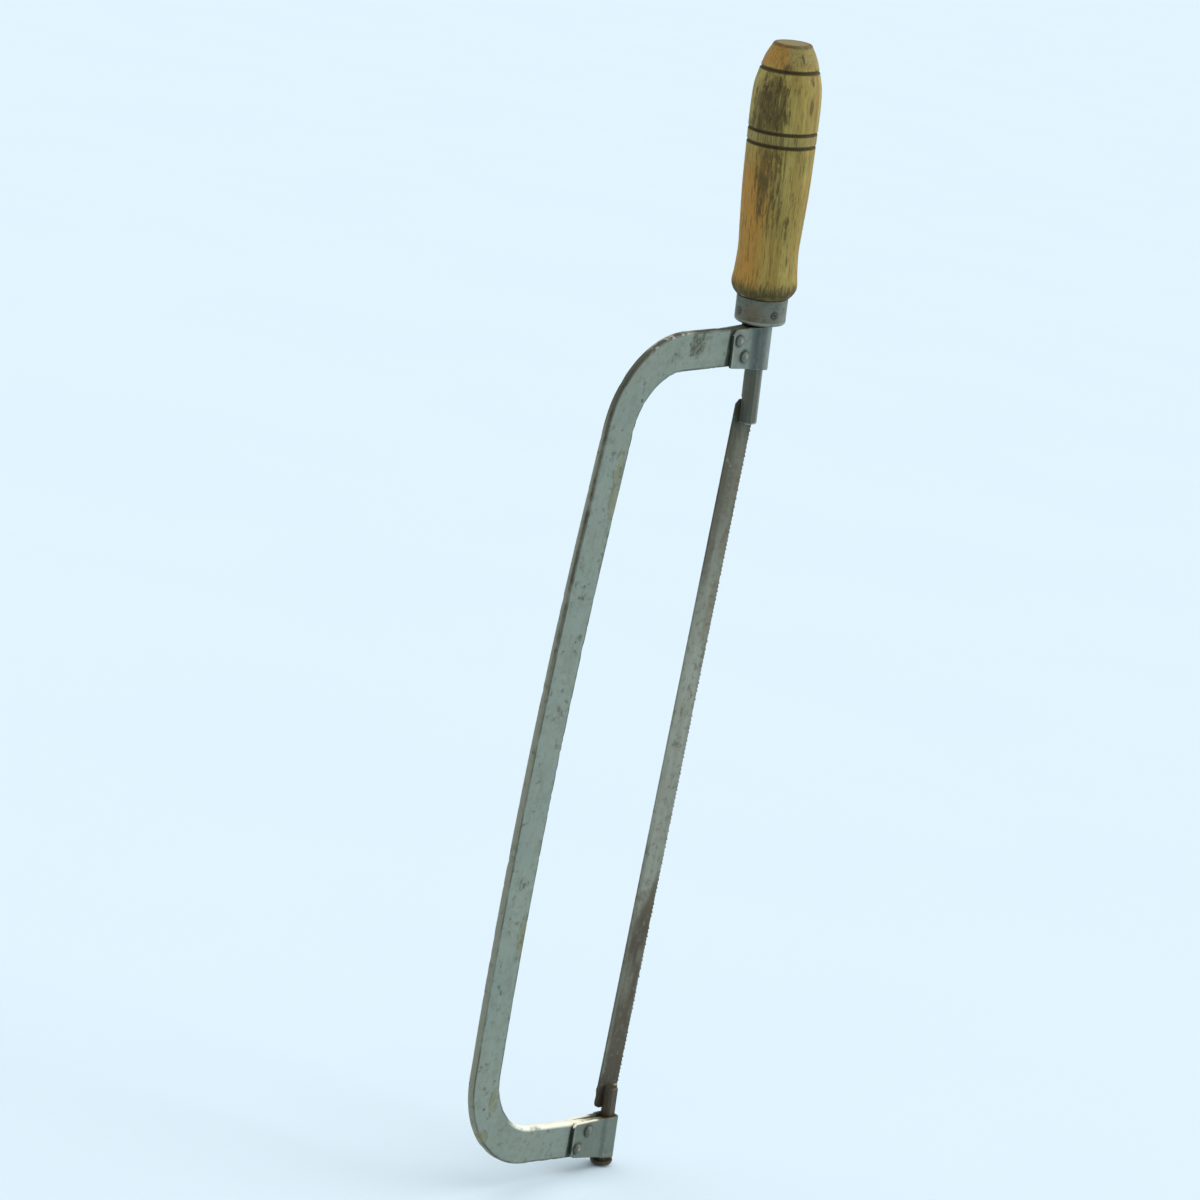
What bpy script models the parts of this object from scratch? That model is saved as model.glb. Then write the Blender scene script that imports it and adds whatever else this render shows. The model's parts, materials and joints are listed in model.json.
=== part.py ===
"""Bow saw: a bent flat-bar frame that holds a thin toothed blade under tension.

A flat steel bar, bent on edge, makes the top arm, the spine and the bottom arm. A folded strap
is riveted to each arm. The lower strap holds a fixed square bar with a round head. The upper
strap guides a square drawbar, whose threaded tail runs in a nut held in the turned wooden handle.
The blade hooks on a pin in each bar. Turning the handle draws the drawbar up and stretches it.

Work axes, in millimetres: X from the spine towards the teeth, Y from the flush face of the frame
towards the blade, Z along the blade towards the handle, zero at the lower blade pin. The empty
"saw" moves all of it, so that the world origin is where a wall peg bears under the top arm.
"""

import math

import bmesh
import bpy
from mathutils import Matrix, Vector

MM = 0.001

# Frame: one flat bar, its centre line given by corners that are rounded off.
BAR_WIDTH = 16.0
BAR_THICKNESS = 3.2
BAR_EDGE_BEVEL = 0.35
BOTTOM_ARM_RISE = -0.065
BOTTOM_ARM_AT_BLADE = -15.9
BOTTOM_ARM_END = -2.8
TOP_ARM_RISE = 0.08
TOP_ARM_AT_BLADE = 330.6
TOP_ARM_END = -8.6
SPINE_MIDDLE = (-90.5, 150.0)
SPINE_LEAN_BELOW = 0.042
SPINE_LEAN_ABOVE = 0.065
BOTTOM_BEND_RADIUS = 37.0
TOP_BEND_RADIUS = 34.5
SPINE_RADIUS = 2150.0
PEG_X = -47.6

# Blade and the two pins that it hooks on.
PIN_DISTANCE = 300.0
PIN_RADIUS = 1.3
PIN_BLIND_DEPTH = -1.4
PIN_TIP = 5.0
PIN_CHAMFER = 0.3
BLADE_WIDTH = 13.0
BLADE_THICKNESS = 0.65
BLADE_SIDE = 2.2
BLADE_ABOVE_PIN = 6.5
BLADE_BELOW_PIN = 4.0
BLADE_HOLE_RADIUS = 1.65
BLADE_FOOT_RADIUS = 3.0
BLADE_FOOT_CLIP = 1.2
BLADE_HEAD_CLIP = 2.0
BLADE_TIP_CLIP = 1.0
TOOTH_PITCH = 1.81
TOOTH_DEPTH = 0.9
TOOTH_RAKE = 0.88
TOOTHLESS_END = 9.0
TENSION_TRAVEL = 2.0

# Upper end: drawbar, strap and handle share one axis, which leans towards the spine.
UPPER_LEAN = -0.128
DRAWBAR_SIZE = 6.35
DRAWBAR_CHAMFER = 1.2
DRAWBAR_END = -3.0
DRAWBAR_SHOULDER = 37.5
TAIL_RADIUS = 2.95
TAIL_END = 72.0
TAIL_CHAMFER = 0.8
BAR_END_TAPER = 0.5
SEAT_LENGTH = 8.0
SEAT_GAP = 0.3

# Lower end: the fixed bar.
LOWER_LEAN = -0.09
HOLDER_SIZE = 5.0
HOLDER_CHAMFER = 0.8
HOLDER_TOP = 6.0
HOLDER_HEAD_TOP = -27.0
HOLDER_HEAD_HEIGHT = 2.0
HOLDER_HEAD_RADIUS = 4.8
HOLDER_HEAD_ROUNDING = 1.4

# Straps folded round the bars.
STRAP_THICKNESS = 1.4
STRAP_GAP = 0.3
STRAP_EAR_EDGE = -23.4
STRAP_SLOPE_RADIUS = 1.5
STRAP_FOLD_SHARE = 0.58
STRAP_SLOPE_RUN = 1.4
STRAP_SLOPE_INSET = 0.8
STRAP_SLOPE_SLACK = 0.4
UPPER_STRAP_BOTTOM = 320.4
UPPER_STRAP_TOP = 38.75
LOWER_STRAP_TOP = -6.6
LOWER_STRAP_BOTTOM = (-23.0, -22.2)
LOWER_STRAP_BOTTOM_RISE = -0.13

# Ear corners clipped off: how far past the ear edge the cut begins, and its size.
UPPER_EAR_CLIP = (-0.7, 3.4)
LOWER_EAR_TOP_CLIP = (-0.9, 2.2)
LOWER_EAR_FOOT_CLIP = (0.6, 2.0)

# Rivets: positions in X and Z, and the shank and domed heads.
UPPER_RIVETS = ((-19.9, 332.1), (-14.8, 325.6))
LOWER_RIVETS = ((-14.8, -10.7), (-19.9, -18.0))
RIVET_RADIUS = 1.5
RIVET_HEAD_RADIUS = 2.5
RIVET_HEAD_HEIGHT = 1.5
RIVET_HEAD_GAP = 0.2
FIT_GAP = 0.3

# Handle, measured along its axis from the upper blade pin.
WASHER = (39.1, 39.7, 3.4, 6.4)
FERRULE_BOTTOM = 40.0
FERRULE_TOP = 50.7
FERRULE_RADIUS = 10.5
FERRULE_WALL = 0.8
FERRULE_ROUNDING = 1.3
FERRULE_HOLE_RADIUS = 3.6
SPIGOT_RADIUS = 9.4
SPIGOT_END = 41.2
SHOULDER = 51.1
HANDLE_END = 154.3
HANDLE_STATIONS = (
    (51.1, 10.8), (52.8, 12.3), (55.6, 13.4), (61.0, 12.9), (70.0, 12.35), (80.0, 12.85),
    (95.0, 13.6), (112.0, 13.95), (128.0, 14.05), (136.6, 13.65), (142.4, 12.4), (148.3, 10.6),
    (152.3, 8.6), (154.3, 7.2),
)
GROOVES = (114.2, 119.5, 144.1)
GROOVE_HALF_WIDTH = 0.7
GROOVE_DEPTH = 0.6
GROOVE_CLEARANCE = 1.6 * GROOVE_HALF_WIDTH
LONG_STRETCH = 12.0
NUT = (41.6, 46.6, 5.6)
NUT_RECESS_RADIUS = 6.0
TAIL_BORE_RADIUS = 3.4
TAIL_BORE_END = 80.0
FERRULE_PIN_HEIGHT = 44.9
FERRULE_PIN_RADIUS = 1.1
FERRULE_PIN_INNER = 6.9
FERRULE_PIN_PROUD = 0.25
FERRULE_PIN_GAP = 0.2
FERRULE_PIN_START = -109.0
FERRULE_PINS = 4


def lean_angle(lean):
    """The turn about Y that leans the Z axis by this much X for each unit of Z."""
    return math.atan(lean)


def material(name, colour, roughness, metallic):
    made = bpy.data.materials.new(name)
    made.use_nodes = True
    shader = made.node_tree.nodes["Principled BSDF"]
    shader.inputs["Base Color"].default_value = (*colour, 1.0)
    shader.inputs["Roughness"].default_value = roughness
    shader.inputs["Metallic"].default_value = metallic
    made.diffuse_color = (*colour, 1.0)
    return made


def empty(name, parent=None, location=(0, 0, 0), lean=0.0):
    made = bpy.data.objects.new(name, None)
    bpy.context.scene.collection.objects.link(made)
    made.parent = parent
    made.location = Vector(location) * MM
    made.rotation_euler = (0, lean_angle(lean), 0)
    made.empty_display_size = 0.01
    return made


def solid(name, mesh_builder, parent, look, sharp_degrees=35):
    """Link a closed mesh as one named object, in its parent's axes."""
    bmesh.ops.recalc_face_normals(mesh_builder, faces=mesh_builder.faces)
    mesh = bpy.data.meshes.new(name)
    mesh_builder.to_mesh(mesh)
    mesh_builder.free()
    if look:
        mesh.materials.append(look)
    mesh.shade_smooth()
    mesh.set_sharp_from_angle(angle=math.radians(sharp_degrees))
    made = bpy.data.objects.new(name, mesh)
    bpy.context.scene.collection.objects.link(made)
    made.parent = parent
    return made


def as_cutter(made):
    made.hide_render = True
    made.display_type = "WIRE"
    return made


def boolean(target, tool, operation="DIFFERENCE"):
    change = target.modifiers.new(f"{operation.lower()} {tool.name}", "BOOLEAN")
    change.operation = operation
    change.solver = "EXACT"
    change.object = tool


def edge_bevel(target, width):
    change = target.modifiers.new("edge bevel", "BEVEL")
    change.width = width * MM
    change.segments = 1
    change.limit_method = "ANGLE"
    change.angle_limit = math.radians(50)
    change.use_clamp_overlap = True


def loft(rings):
    """A closed mesh through rings of points that all have the same count, capped at both ends."""
    made = bmesh.new()
    rows = [[made.verts.new(Vector(point) * MM) for point in ring] for ring in rings]
    count = len(rows[0])
    for low, high in zip(rows, rows[1:]):
        for i in range(count):
            j = (i + 1) % count
            made.faces.new((low[i], low[j], high[j], high[i]))
    made.faces.new(rows[0][::-1])
    made.faces.new(rows[-1])
    return made


def turned(outline, sides):
    """Revolve (radius, height) points about Z. The outline closes, or starts and ends at radius 0."""
    made = bmesh.new()
    closed = outline[0][0] > 0
    rows = []
    for radius, height in outline:
        if radius == 0:
            rows.append([made.verts.new(Vector((0, 0, height)) * MM)] * sides)
            continue
        ring = []
        for i in range(sides):
            turn = 2 * math.pi * i / sides
            place = Vector((radius * math.cos(turn), radius * math.sin(turn), height))
            ring.append(made.verts.new(place * MM))
        rows.append(ring)
    pairs = list(zip(rows, rows[1:]))
    if closed:
        pairs.append((rows[-1], rows[0]))
    for low, high in pairs:
        for i in range(sides):
            j = (i + 1) % sides
            corners = list(dict.fromkeys((low[i], low[j], high[j], high[i])))
            made.faces.new(corners)
    return made


def arc(centre, radius, start, end, steps):
    """Points on an arc, angles in degrees, both ends included."""
    angles = [math.radians(start + (end - start) * i / steps) for i in range(steps + 1)]
    return [(centre[0] + radius * math.cos(a), centre[1] + radius * math.sin(a)) for a in angles]


def rounded_path(corners, radii, steps):
    """A line through the corners, with an arc of the given radius in place of each inner corner."""
    points = [corners[0]]
    for before, here, after, radius, count in zip(corners, corners[1:], corners[2:], radii, steps):
        here = Vector(here)
        back = (Vector(before) - here).normalized()
        ahead = (Vector(after) - here).normalized()
        half = back.angle(ahead) / 2
        centre = here + (back + ahead).normalized() * radius / math.sin(half)
        first = here + back * radius / math.tan(half) - centre
        sweep = first.angle_signed(here + ahead * radius / math.tan(half) - centre)
        for i in range(count + 1):
            turn = Matrix.Rotation(-sweep * i / count, 2)
            points.append(tuple(centre + turn @ first))
    points.append(corners[-1])
    return points


def ribbon(path, width):
    """The closed outline of a strip of even width along a path."""
    left, right = [], []
    places = [Vector(point) for point in path]
    for i, here in enumerate(places):
        back = (here - places[i - 1]).normalized() if i else None
        ahead = (places[i + 1] - here).normalized() if i + 1 < len(places) else None
        along = (back or ahead) + (ahead or back)
        along.normalize()
        reach = width / 2 / along.dot(ahead or back)
        across = Vector((-along.y, along.x)) * reach
        left.append(tuple(here + across))
        right.append(tuple(here - across))
    return left + right[::-1]


def octagon(size, chamfer):
    """A square with its corners cut off, as eight points."""
    half = size / 2
    inner = half - chamfer
    return (
        (half, -inner), (half, inner), (inner, half), (-inner, half),
        (-half, inner), (-half, -inner), (-inner, -half), (inner, -half),
    )


def square_bar(size, chamfer, low, high, taper_low=0.0, taper_high=0.0):
    """A chamfered square bar along Z, with an optional tapered end."""
    shape = octagon(size, chamfer)
    levels = [(low, taper_low)]
    if taper_low:
        levels.append((low + taper_low, 0.0))
    if taper_high:
        levels.append((high - taper_high, 0.0))
    levels.append((high, taper_high))
    rings = []
    for height, taper in levels:
        scale = (size - 2 * taper) / size
        rings.append([(x * scale, y * scale, height) for x, y in shape])
    return loft(rings)


def box(low, high):
    corners = [(low[0], low[1]), (high[0], low[1]), (high[0], high[1]), (low[0], high[1])]
    return loft([[(x, y, z) for x, y in corners] for z in (low[2], high[2])])


def across_cylinder(centre, radius, low, high, sides=20):
    """A cylinder along Y at an X and Z place."""
    ring = arc(centre, radius, 0, 360 * (sides - 1) / sides, sides - 1)
    return loft([[(x, y, z) for x, z in ring] for y in (low, high)])


def bow_path():
    """The centre line of the bent bar, in X and Z, from the bottom arm's end to the top arm's."""
    middle_x, middle_z = SPINE_MIDDLE
    bottom_end = (BOTTOM_ARM_END, BOTTOM_ARM_AT_BLADE + BOTTOM_ARM_RISE * BOTTOM_ARM_END)
    top_end = (TOP_ARM_END, TOP_ARM_AT_BLADE + TOP_ARM_RISE * TOP_ARM_END)
    bottom_x = middle_x + SPINE_LEAN_BELOW * (middle_z - BOTTOM_ARM_AT_BLADE)
    bottom_x /= 1 + SPINE_LEAN_BELOW * BOTTOM_ARM_RISE
    top_x = middle_x + SPINE_LEAN_ABOVE * (TOP_ARM_AT_BLADE - middle_z)
    top_x /= 1 - SPINE_LEAN_ABOVE * TOP_ARM_RISE
    bottom_corner = (bottom_x, BOTTOM_ARM_AT_BLADE + BOTTOM_ARM_RISE * bottom_x)
    top_corner = (top_x, TOP_ARM_AT_BLADE + TOP_ARM_RISE * top_x)
    corners = (bottom_end, bottom_corner, SPINE_MIDDLE, top_corner, top_end)
    radii = (BOTTOM_BEND_RADIUS, SPINE_RADIUS, TOP_BEND_RADIUS)
    return rounded_path(corners, radii, steps=(12, 10, 14))


def top_arm_underside(x):
    slant = math.hypot(1.0, TOP_ARM_RISE)
    return TOP_ARM_AT_BLADE + TOP_ARM_RISE * x - BAR_WIDTH / 2 * slant


def make_bow(parent, look, rivet_holes):
    outline = ribbon(bow_path(), BAR_WIDTH)
    half = BAR_THICKNESS / 2
    sides = [[(x, y, z) for x, z in outline] for y in (-half, half)]
    made = solid("frame_bow", loft(sides), parent, look)
    edge_bevel(made, BAR_EDGE_BEVEL)
    for hole in rivet_holes:
        boolean(made, hole)


def strap_section(bar_size, ear_edge):
    """The folded strap's section across the bar, in X and Y from the bar's axis."""
    ear = BAR_THICKNESS / 2 + STRAP_GAP + STRAP_THICKNESS / 2
    wrap = bar_size / 2 + STRAP_GAP + STRAP_THICKNESS / 2
    slope_end = -wrap - STRAP_SLOPE_INSET
    slope_start = slope_end - STRAP_SLOPE_RUN * (wrap - ear) - STRAP_SLOPE_SLACK
    fold = STRAP_FOLD_SHARE * wrap
    slope = STRAP_SLOPE_RADIUS
    corners = (
        (ear_edge, ear), (slope_start, ear), (slope_end, wrap), (wrap, wrap),
        (wrap, -wrap), (slope_end, -wrap), (slope_start, -ear), (ear_edge, -ear),
    )
    radii = (slope, slope, fold, fold, slope, slope)
    return ribbon(rounded_path(corners, radii, steps=(2, 2, 5, 5, 2, 2)), STRAP_THICKNESS)


def strap(section, lean, pin_height, planes):
    """Run the section along a leaning axis between two planes, given as height at X 0 and rise."""
    rings = []
    for height, rise in planes:
        ring = []
        for x, y in section:
            along = (height - pin_height + rise * x) / (1 - rise * lean)
            ring.append((x + lean * along, y, pin_height + along))
        rings.append(ring)
    return loft(rings)


def ear_corner_cutter(name, height, size, down, parent):
    """A wedge that clips a strap's ears where their edge meets a height in Z."""
    offset, clip = size
    x = STRAP_EAR_EDGE + offset
    reach = 3 * clip
    turn = -1 if down else 1
    points = (
        (x + clip, height + turn * reach), (x - reach, height + turn * reach),
        (x - reach, height - turn * clip), (x, height - turn * clip), (x + clip, height),
    )
    wide = 3 * STRAP_THICKNESS + BAR_THICKNESS
    wedge = loft([[(a, y, b) for a, b in points] for y in (-wide, wide)])
    return as_cutter(solid(name, wedge, parent, None))


def rivet_hole(name, place, parent):
    reach = BAR_THICKNESS + 2 * STRAP_THICKNESS
    hole = across_cylinder(place, RIVET_RADIUS + FIT_GAP, -reach, reach, 16)
    return as_cutter(solid(name, hole, parent, None))


def make_rivet(name, place, parent, look):
    """A shank through both ears and the bar, with a dome on each side."""
    face = BAR_THICKNESS / 2 + STRAP_GAP + STRAP_THICKNESS + RIVET_HEAD_GAP
    dome_radius = (RIVET_HEAD_RADIUS**2 + RIVET_HEAD_HEIGHT**2) / (2 * RIVET_HEAD_HEIGHT)
    edge = math.degrees(math.asin(RIVET_HEAD_RADIUS / dome_radius))
    centre = face + RIVET_HEAD_HEIGHT - dome_radius
    dome = arc((0, centre), dome_radius, 90 - edge, 90, 4)
    outline = [(0, face + RIVET_HEAD_HEIGHT)]
    outline += dome[:-1][::-1]
    outline += [(RIVET_RADIUS, face), (RIVET_RADIUS, -face)]
    outline += [(radius, -height) for radius, height in dome[:-1]]
    outline.append((0, -face - RIVET_HEAD_HEIGHT))
    made = solid(name, turned(outline, 18), parent, look)
    made.location = Vector((place[0], 0, place[1])) * MM
    made.rotation_euler = (math.radians(90), 0, 0)


def make_upper_strap(parent, look, rivet_holes):
    axis_x = UPPER_LEAN * (TOP_ARM_AT_BLADE - PIN_DISTANCE)
    section = strap_section(DRAWBAR_SIZE, STRAP_EAR_EDGE - axis_x)
    slant = math.hypot(1.0, UPPER_LEAN)
    top = (PIN_DISTANCE + UPPER_STRAP_TOP * slant, -UPPER_LEAN)
    folded = strap(section, UPPER_LEAN, PIN_DISTANCE, ((UPPER_STRAP_BOTTOM, 0.0), top))
    made = solid("upper_sleeve", folded, parent, look)
    corner_z = top[0] - UPPER_LEAN * STRAP_EAR_EDGE
    boolean(made, ear_corner_cutter("clip_upper_ear", corner_z, UPPER_EAR_CLIP, False, parent))
    for hole in rivet_holes:
        boolean(made, hole)


def make_lower_strap(parent, look, rivet_holes):
    axis_x = LOWER_LEAN * BOTTOM_ARM_AT_BLADE
    section = strap_section(HOLDER_SIZE, STRAP_EAR_EDGE - axis_x)
    bottom_x, bottom_z = LOWER_STRAP_BOTTOM
    bottom = (bottom_z - LOWER_STRAP_BOTTOM_RISE * bottom_x, LOWER_STRAP_BOTTOM_RISE)
    folded = strap(section, LOWER_LEAN, 0.0, (bottom, (LOWER_STRAP_TOP, 0.0)))
    made = solid("lower_sleeve", folded, parent, look)
    top_clip = ear_corner_cutter("clip_lower_ear_top", LOWER_STRAP_TOP, LOWER_EAR_TOP_CLIP, False, parent)
    boolean(made, top_clip)
    foot_clip = ear_corner_cutter("clip_lower_ear_foot", bottom_z, LOWER_EAR_FOOT_CLIP, True, parent)
    boolean(made, foot_clip)
    for hole in rivet_holes:
        boolean(made, hole)


def pin_socket(name, parent):
    """A blind hole for a blade pin, open towards the blade."""
    bottom = PIN_BLIND_DEPTH - FIT_GAP
    hole = across_cylinder((0, 0), PIN_RADIUS + FIT_GAP, bottom, PIN_TIP, 16)
    return as_cutter(solid(name, hole, parent, None))


def make_pin(name, parent, look):
    tip = PIN_RADIUS - PIN_CHAMFER
    outline = [(0, PIN_BLIND_DEPTH), (PIN_RADIUS, PIN_BLIND_DEPTH), (PIN_RADIUS, PIN_TIP - PIN_CHAMFER)]
    outline += [(tip, PIN_TIP), (0, PIN_TIP)]
    made = solid(name, turned(outline, 20), parent, look)
    made.rotation_euler = (math.radians(-90), 0, 0)


def make_drawbar(parent, look):
    bar = square_bar(DRAWBAR_SIZE, DRAWBAR_CHAMFER, DRAWBAR_END, DRAWBAR_SHOULDER, taper_low=BAR_END_TAPER)
    made = solid("drawbar", bar, parent, look)
    root = DRAWBAR_SHOULDER - TAIL_RADIUS
    outline = [(0, root), (TAIL_RADIUS, root), (TAIL_RADIUS, TAIL_END - TAIL_CHAMFER)]
    outline += [(TAIL_RADIUS - TAIL_CHAMFER, TAIL_END), (0, TAIL_END)]
    boolean(made, as_cutter(solid("drawbar_tail", turned(outline, 24), parent, None)), "UNION")
    seat = BLADE_SIDE - SEAT_GAP
    size = DRAWBAR_SIZE
    mill = box((-size, seat, DRAWBAR_END - size), (size, size, SEAT_LENGTH))
    boolean(made, as_cutter(solid("drawbar_seat", mill, parent, None)))
    boolean(made, pin_socket("drawbar_pin_socket", parent))


def make_holder(parent, look):
    root = HOLDER_HEAD_TOP - HOLDER_HEAD_HEIGHT / 4
    bar = square_bar(HOLDER_SIZE, HOLDER_CHAMFER, root, HOLDER_TOP, taper_high=BAR_END_TAPER)
    made = solid("lower_holder", bar, parent, look)
    low = HOLDER_HEAD_TOP - HOLDER_HEAD_HEIGHT
    rounding = HOLDER_HEAD_ROUNDING
    dome = arc((HOLDER_HEAD_RADIUS - rounding, low + rounding), rounding, -90, 0, 4)
    outline = [(0, low)] + dome + [(HOLDER_HEAD_RADIUS, HOLDER_HEAD_TOP), (0, HOLDER_HEAD_TOP)]
    boolean(made, as_cutter(solid("holder_head", turned(outline, 24), parent, None)), "UNION")
    seat = BLADE_SIDE - SEAT_GAP
    size = HOLDER_SIZE
    mill = box((-size, seat, -SEAT_LENGTH), (size, size, HOLDER_TOP + size))
    boolean(made, as_cutter(solid("holder_seat", mill, parent, None)))
    boolean(made, pin_socket("holder_pin_socket", parent))


def blade_outline():
    """The blade's outline in X and Z: plain back, rounded foot, clipped head and raked teeth."""
    half = BLADE_WIDTH / 2
    low = -BLADE_BELOW_PIN
    high = PIN_DISTANCE + BLADE_ABOVE_PIN
    foot = BLADE_FOOT_RADIUS
    head = BLADE_HEAD_CLIP
    tip = BLADE_TIP_CLIP
    points = arc((-half + foot, low + foot), foot, 180, 270, 4)
    points += [(half - BLADE_FOOT_CLIP, low), (half, low + BLADE_FOOT_CLIP)]
    first = low + TOOTHLESS_END
    count = int((high - TOOTHLESS_END - first) / TOOTH_PITCH)
    for i in range(count):
        base = first + i * TOOTH_PITCH
        points.append((half, base))
        points.append((half - TOOTH_DEPTH, base + TOOTH_RAKE * TOOTH_PITCH))
    points.append((half, first + count * TOOTH_PITCH))
    points += [(half, high - tip), (half - tip, high), (-half + head, high), (-half, high - head)]
    return points


def blade_slot(name, low, high, parent):
    """A round-ended slot through the blade between two heights."""
    ring = arc((0, high), BLADE_HOLE_RADIUS, 0, 180, 8) + arc((0, low), BLADE_HOLE_RADIUS, 180, 360, 8)
    if low == high:
        ring = arc((0, high), BLADE_HOLE_RADIUS, 0, 360 * 15 / 16, 15)
    sides = (BLADE_SIDE - BLADE_THICKNESS, BLADE_SIDE + 2 * BLADE_THICKNESS)
    cut = loft([[(x, y, z) for x, z in ring] for y in sides])
    return as_cutter(solid(name, cut, parent, None))


def make_blade(parent, look):
    sides = (BLADE_SIDE, BLADE_SIDE + BLADE_THICKNESS)
    plate = loft([[(x, y, z) for x, z in blade_outline()] for y in sides])
    made = solid("blade", plate, parent, look)
    boolean(made, blade_slot("blade_upper_hole", PIN_DISTANCE, PIN_DISTANCE, parent))
    boolean(made, blade_slot("blade_lower_slot", 0.0, TENSION_TRAVEL + FIT_GAP, parent))


def handle_radius(height):
    """The turned handle's outer radius, a smooth curve through its stations less the grooves."""
    stations = HANDLE_STATIONS
    for i in range(len(stations) - 1):
        if height <= stations[i + 1][0]:
            break
    low, high = stations[i], stations[i + 1]
    before = stations[max(i - 1, 0)]
    after = stations[min(i + 2, len(stations) - 1)]
    span = high[0] - low[0]
    low_slope = (high[1] - before[1]) / (high[0] - before[0]) * span
    high_slope = (after[1] - low[1]) / (after[0] - low[0]) * span
    s = (height - low[0]) / span
    radius = (2 * s**3 - 3 * s**2 + 1) * low[1] + (s**3 - 2 * s**2 + s) * low_slope
    radius += (3 * s**2 - 2 * s**3) * high[1] + (s**3 - s**2) * high_slope
    for groove in GROOVES:
        cut = 1 - abs(height - groove) / GROOVE_HALF_WIDTH
        radius -= GROOVE_DEPTH * max(cut, 0.0)
    return radius


def handle_heights():
    """Where the handle's outline has a point: evenly along each stretch, and at each groove."""
    heights = {SHOULDER, HANDLE_END}
    for low, high in zip(HANDLE_STATIONS, HANDLE_STATIONS[1:]):
        steps = 3 if high[0] - low[0] >= LONG_STRETCH else 2
        heights.update(low[0] + (high[0] - low[0]) * i / steps for i in range(steps))
    heights = {h for h in heights if all(abs(h - groove) > GROOVE_CLEARANCE for groove in GROOVES)}
    for groove in GROOVES:
        heights.update((groove - GROOVE_HALF_WIDTH, groove, groove + GROOVE_HALF_WIDTH))
    return sorted(heights)


def make_handle(parent, look, pin_holes):
    bore = TAIL_BORE_RADIUS
    recess = NUT[1] + FIT_GAP
    outline = [(0, TAIL_BORE_END), (bore, TAIL_BORE_END), (bore, recess)]
    outline += [(NUT_RECESS_RADIUS, recess), (NUT_RECESS_RADIUS, SPIGOT_END)]
    outline += [(SPIGOT_RADIUS, SPIGOT_END), (SPIGOT_RADIUS, SHOULDER)]
    outline += [(handle_radius(height), height) for height in handle_heights()]
    outline.append((0, HANDLE_END))
    made = solid("handle_wood", turned(outline, 32), parent, look, sharp_degrees=28)
    for hole in pin_holes:
        boolean(made, hole)


def make_ferrule(parent, look, pin_holes):
    inner = FERRULE_RADIUS - FERRULE_WALL
    rounding = FERRULE_ROUNDING
    centre = (FERRULE_RADIUS - rounding, FERRULE_BOTTOM + rounding)
    inside = arc(centre, rounding - FERRULE_WALL, 0, -90, 2)
    outline = [(FERRULE_HOLE_RADIUS, FERRULE_BOTTOM)] + arc(centre, rounding, -90, 0, 4)
    outline += [(FERRULE_RADIUS, FERRULE_TOP), (inner, FERRULE_TOP)] + inside
    outline.append((FERRULE_HOLE_RADIUS, FERRULE_BOTTOM + FERRULE_WALL))
    made = solid("ferrule", turned(outline, 32), parent, look)
    for hole in pin_holes:
        boolean(made, hole)


def radial_pin(name, turn_degrees, radius, inner, outer, parent, look):
    """A pin laid out from the handle's axis at an angle round it."""
    outline = [(0, inner), (radius, inner), (radius, outer), (0, outer)]
    made = solid(name, turned(outline, 14), parent, look)
    made.location = Vector((0, 0, FERRULE_PIN_HEIGHT)) * MM
    made.rotation_euler = (0, math.radians(90), math.radians(turn_degrees))
    return made


def make_nut(parent, look):
    low, high, corner = NUT
    bore = TAIL_RADIUS + FIT_GAP
    hexagon = arc((0, 0), corner, 0, 300, 5)
    prism = loft([[(x, y, z) for x, y in hexagon] for z in (low, high)])
    made = solid("handle_nut", prism, parent, look)
    hole = [(0, low - bore), (bore, low - bore), (bore, high + bore), (0, high + bore)]
    boolean(made, as_cutter(solid("handle_nut_bore", turned(hole, 24), parent, None)))


def make_washer(parent, look):
    low, high, hole, rim = WASHER
    outline = [(hole, low), (rim, low), (rim, high), (hole, high)]
    solid("thrust_washer", turned(outline, 28), parent, look)


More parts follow.
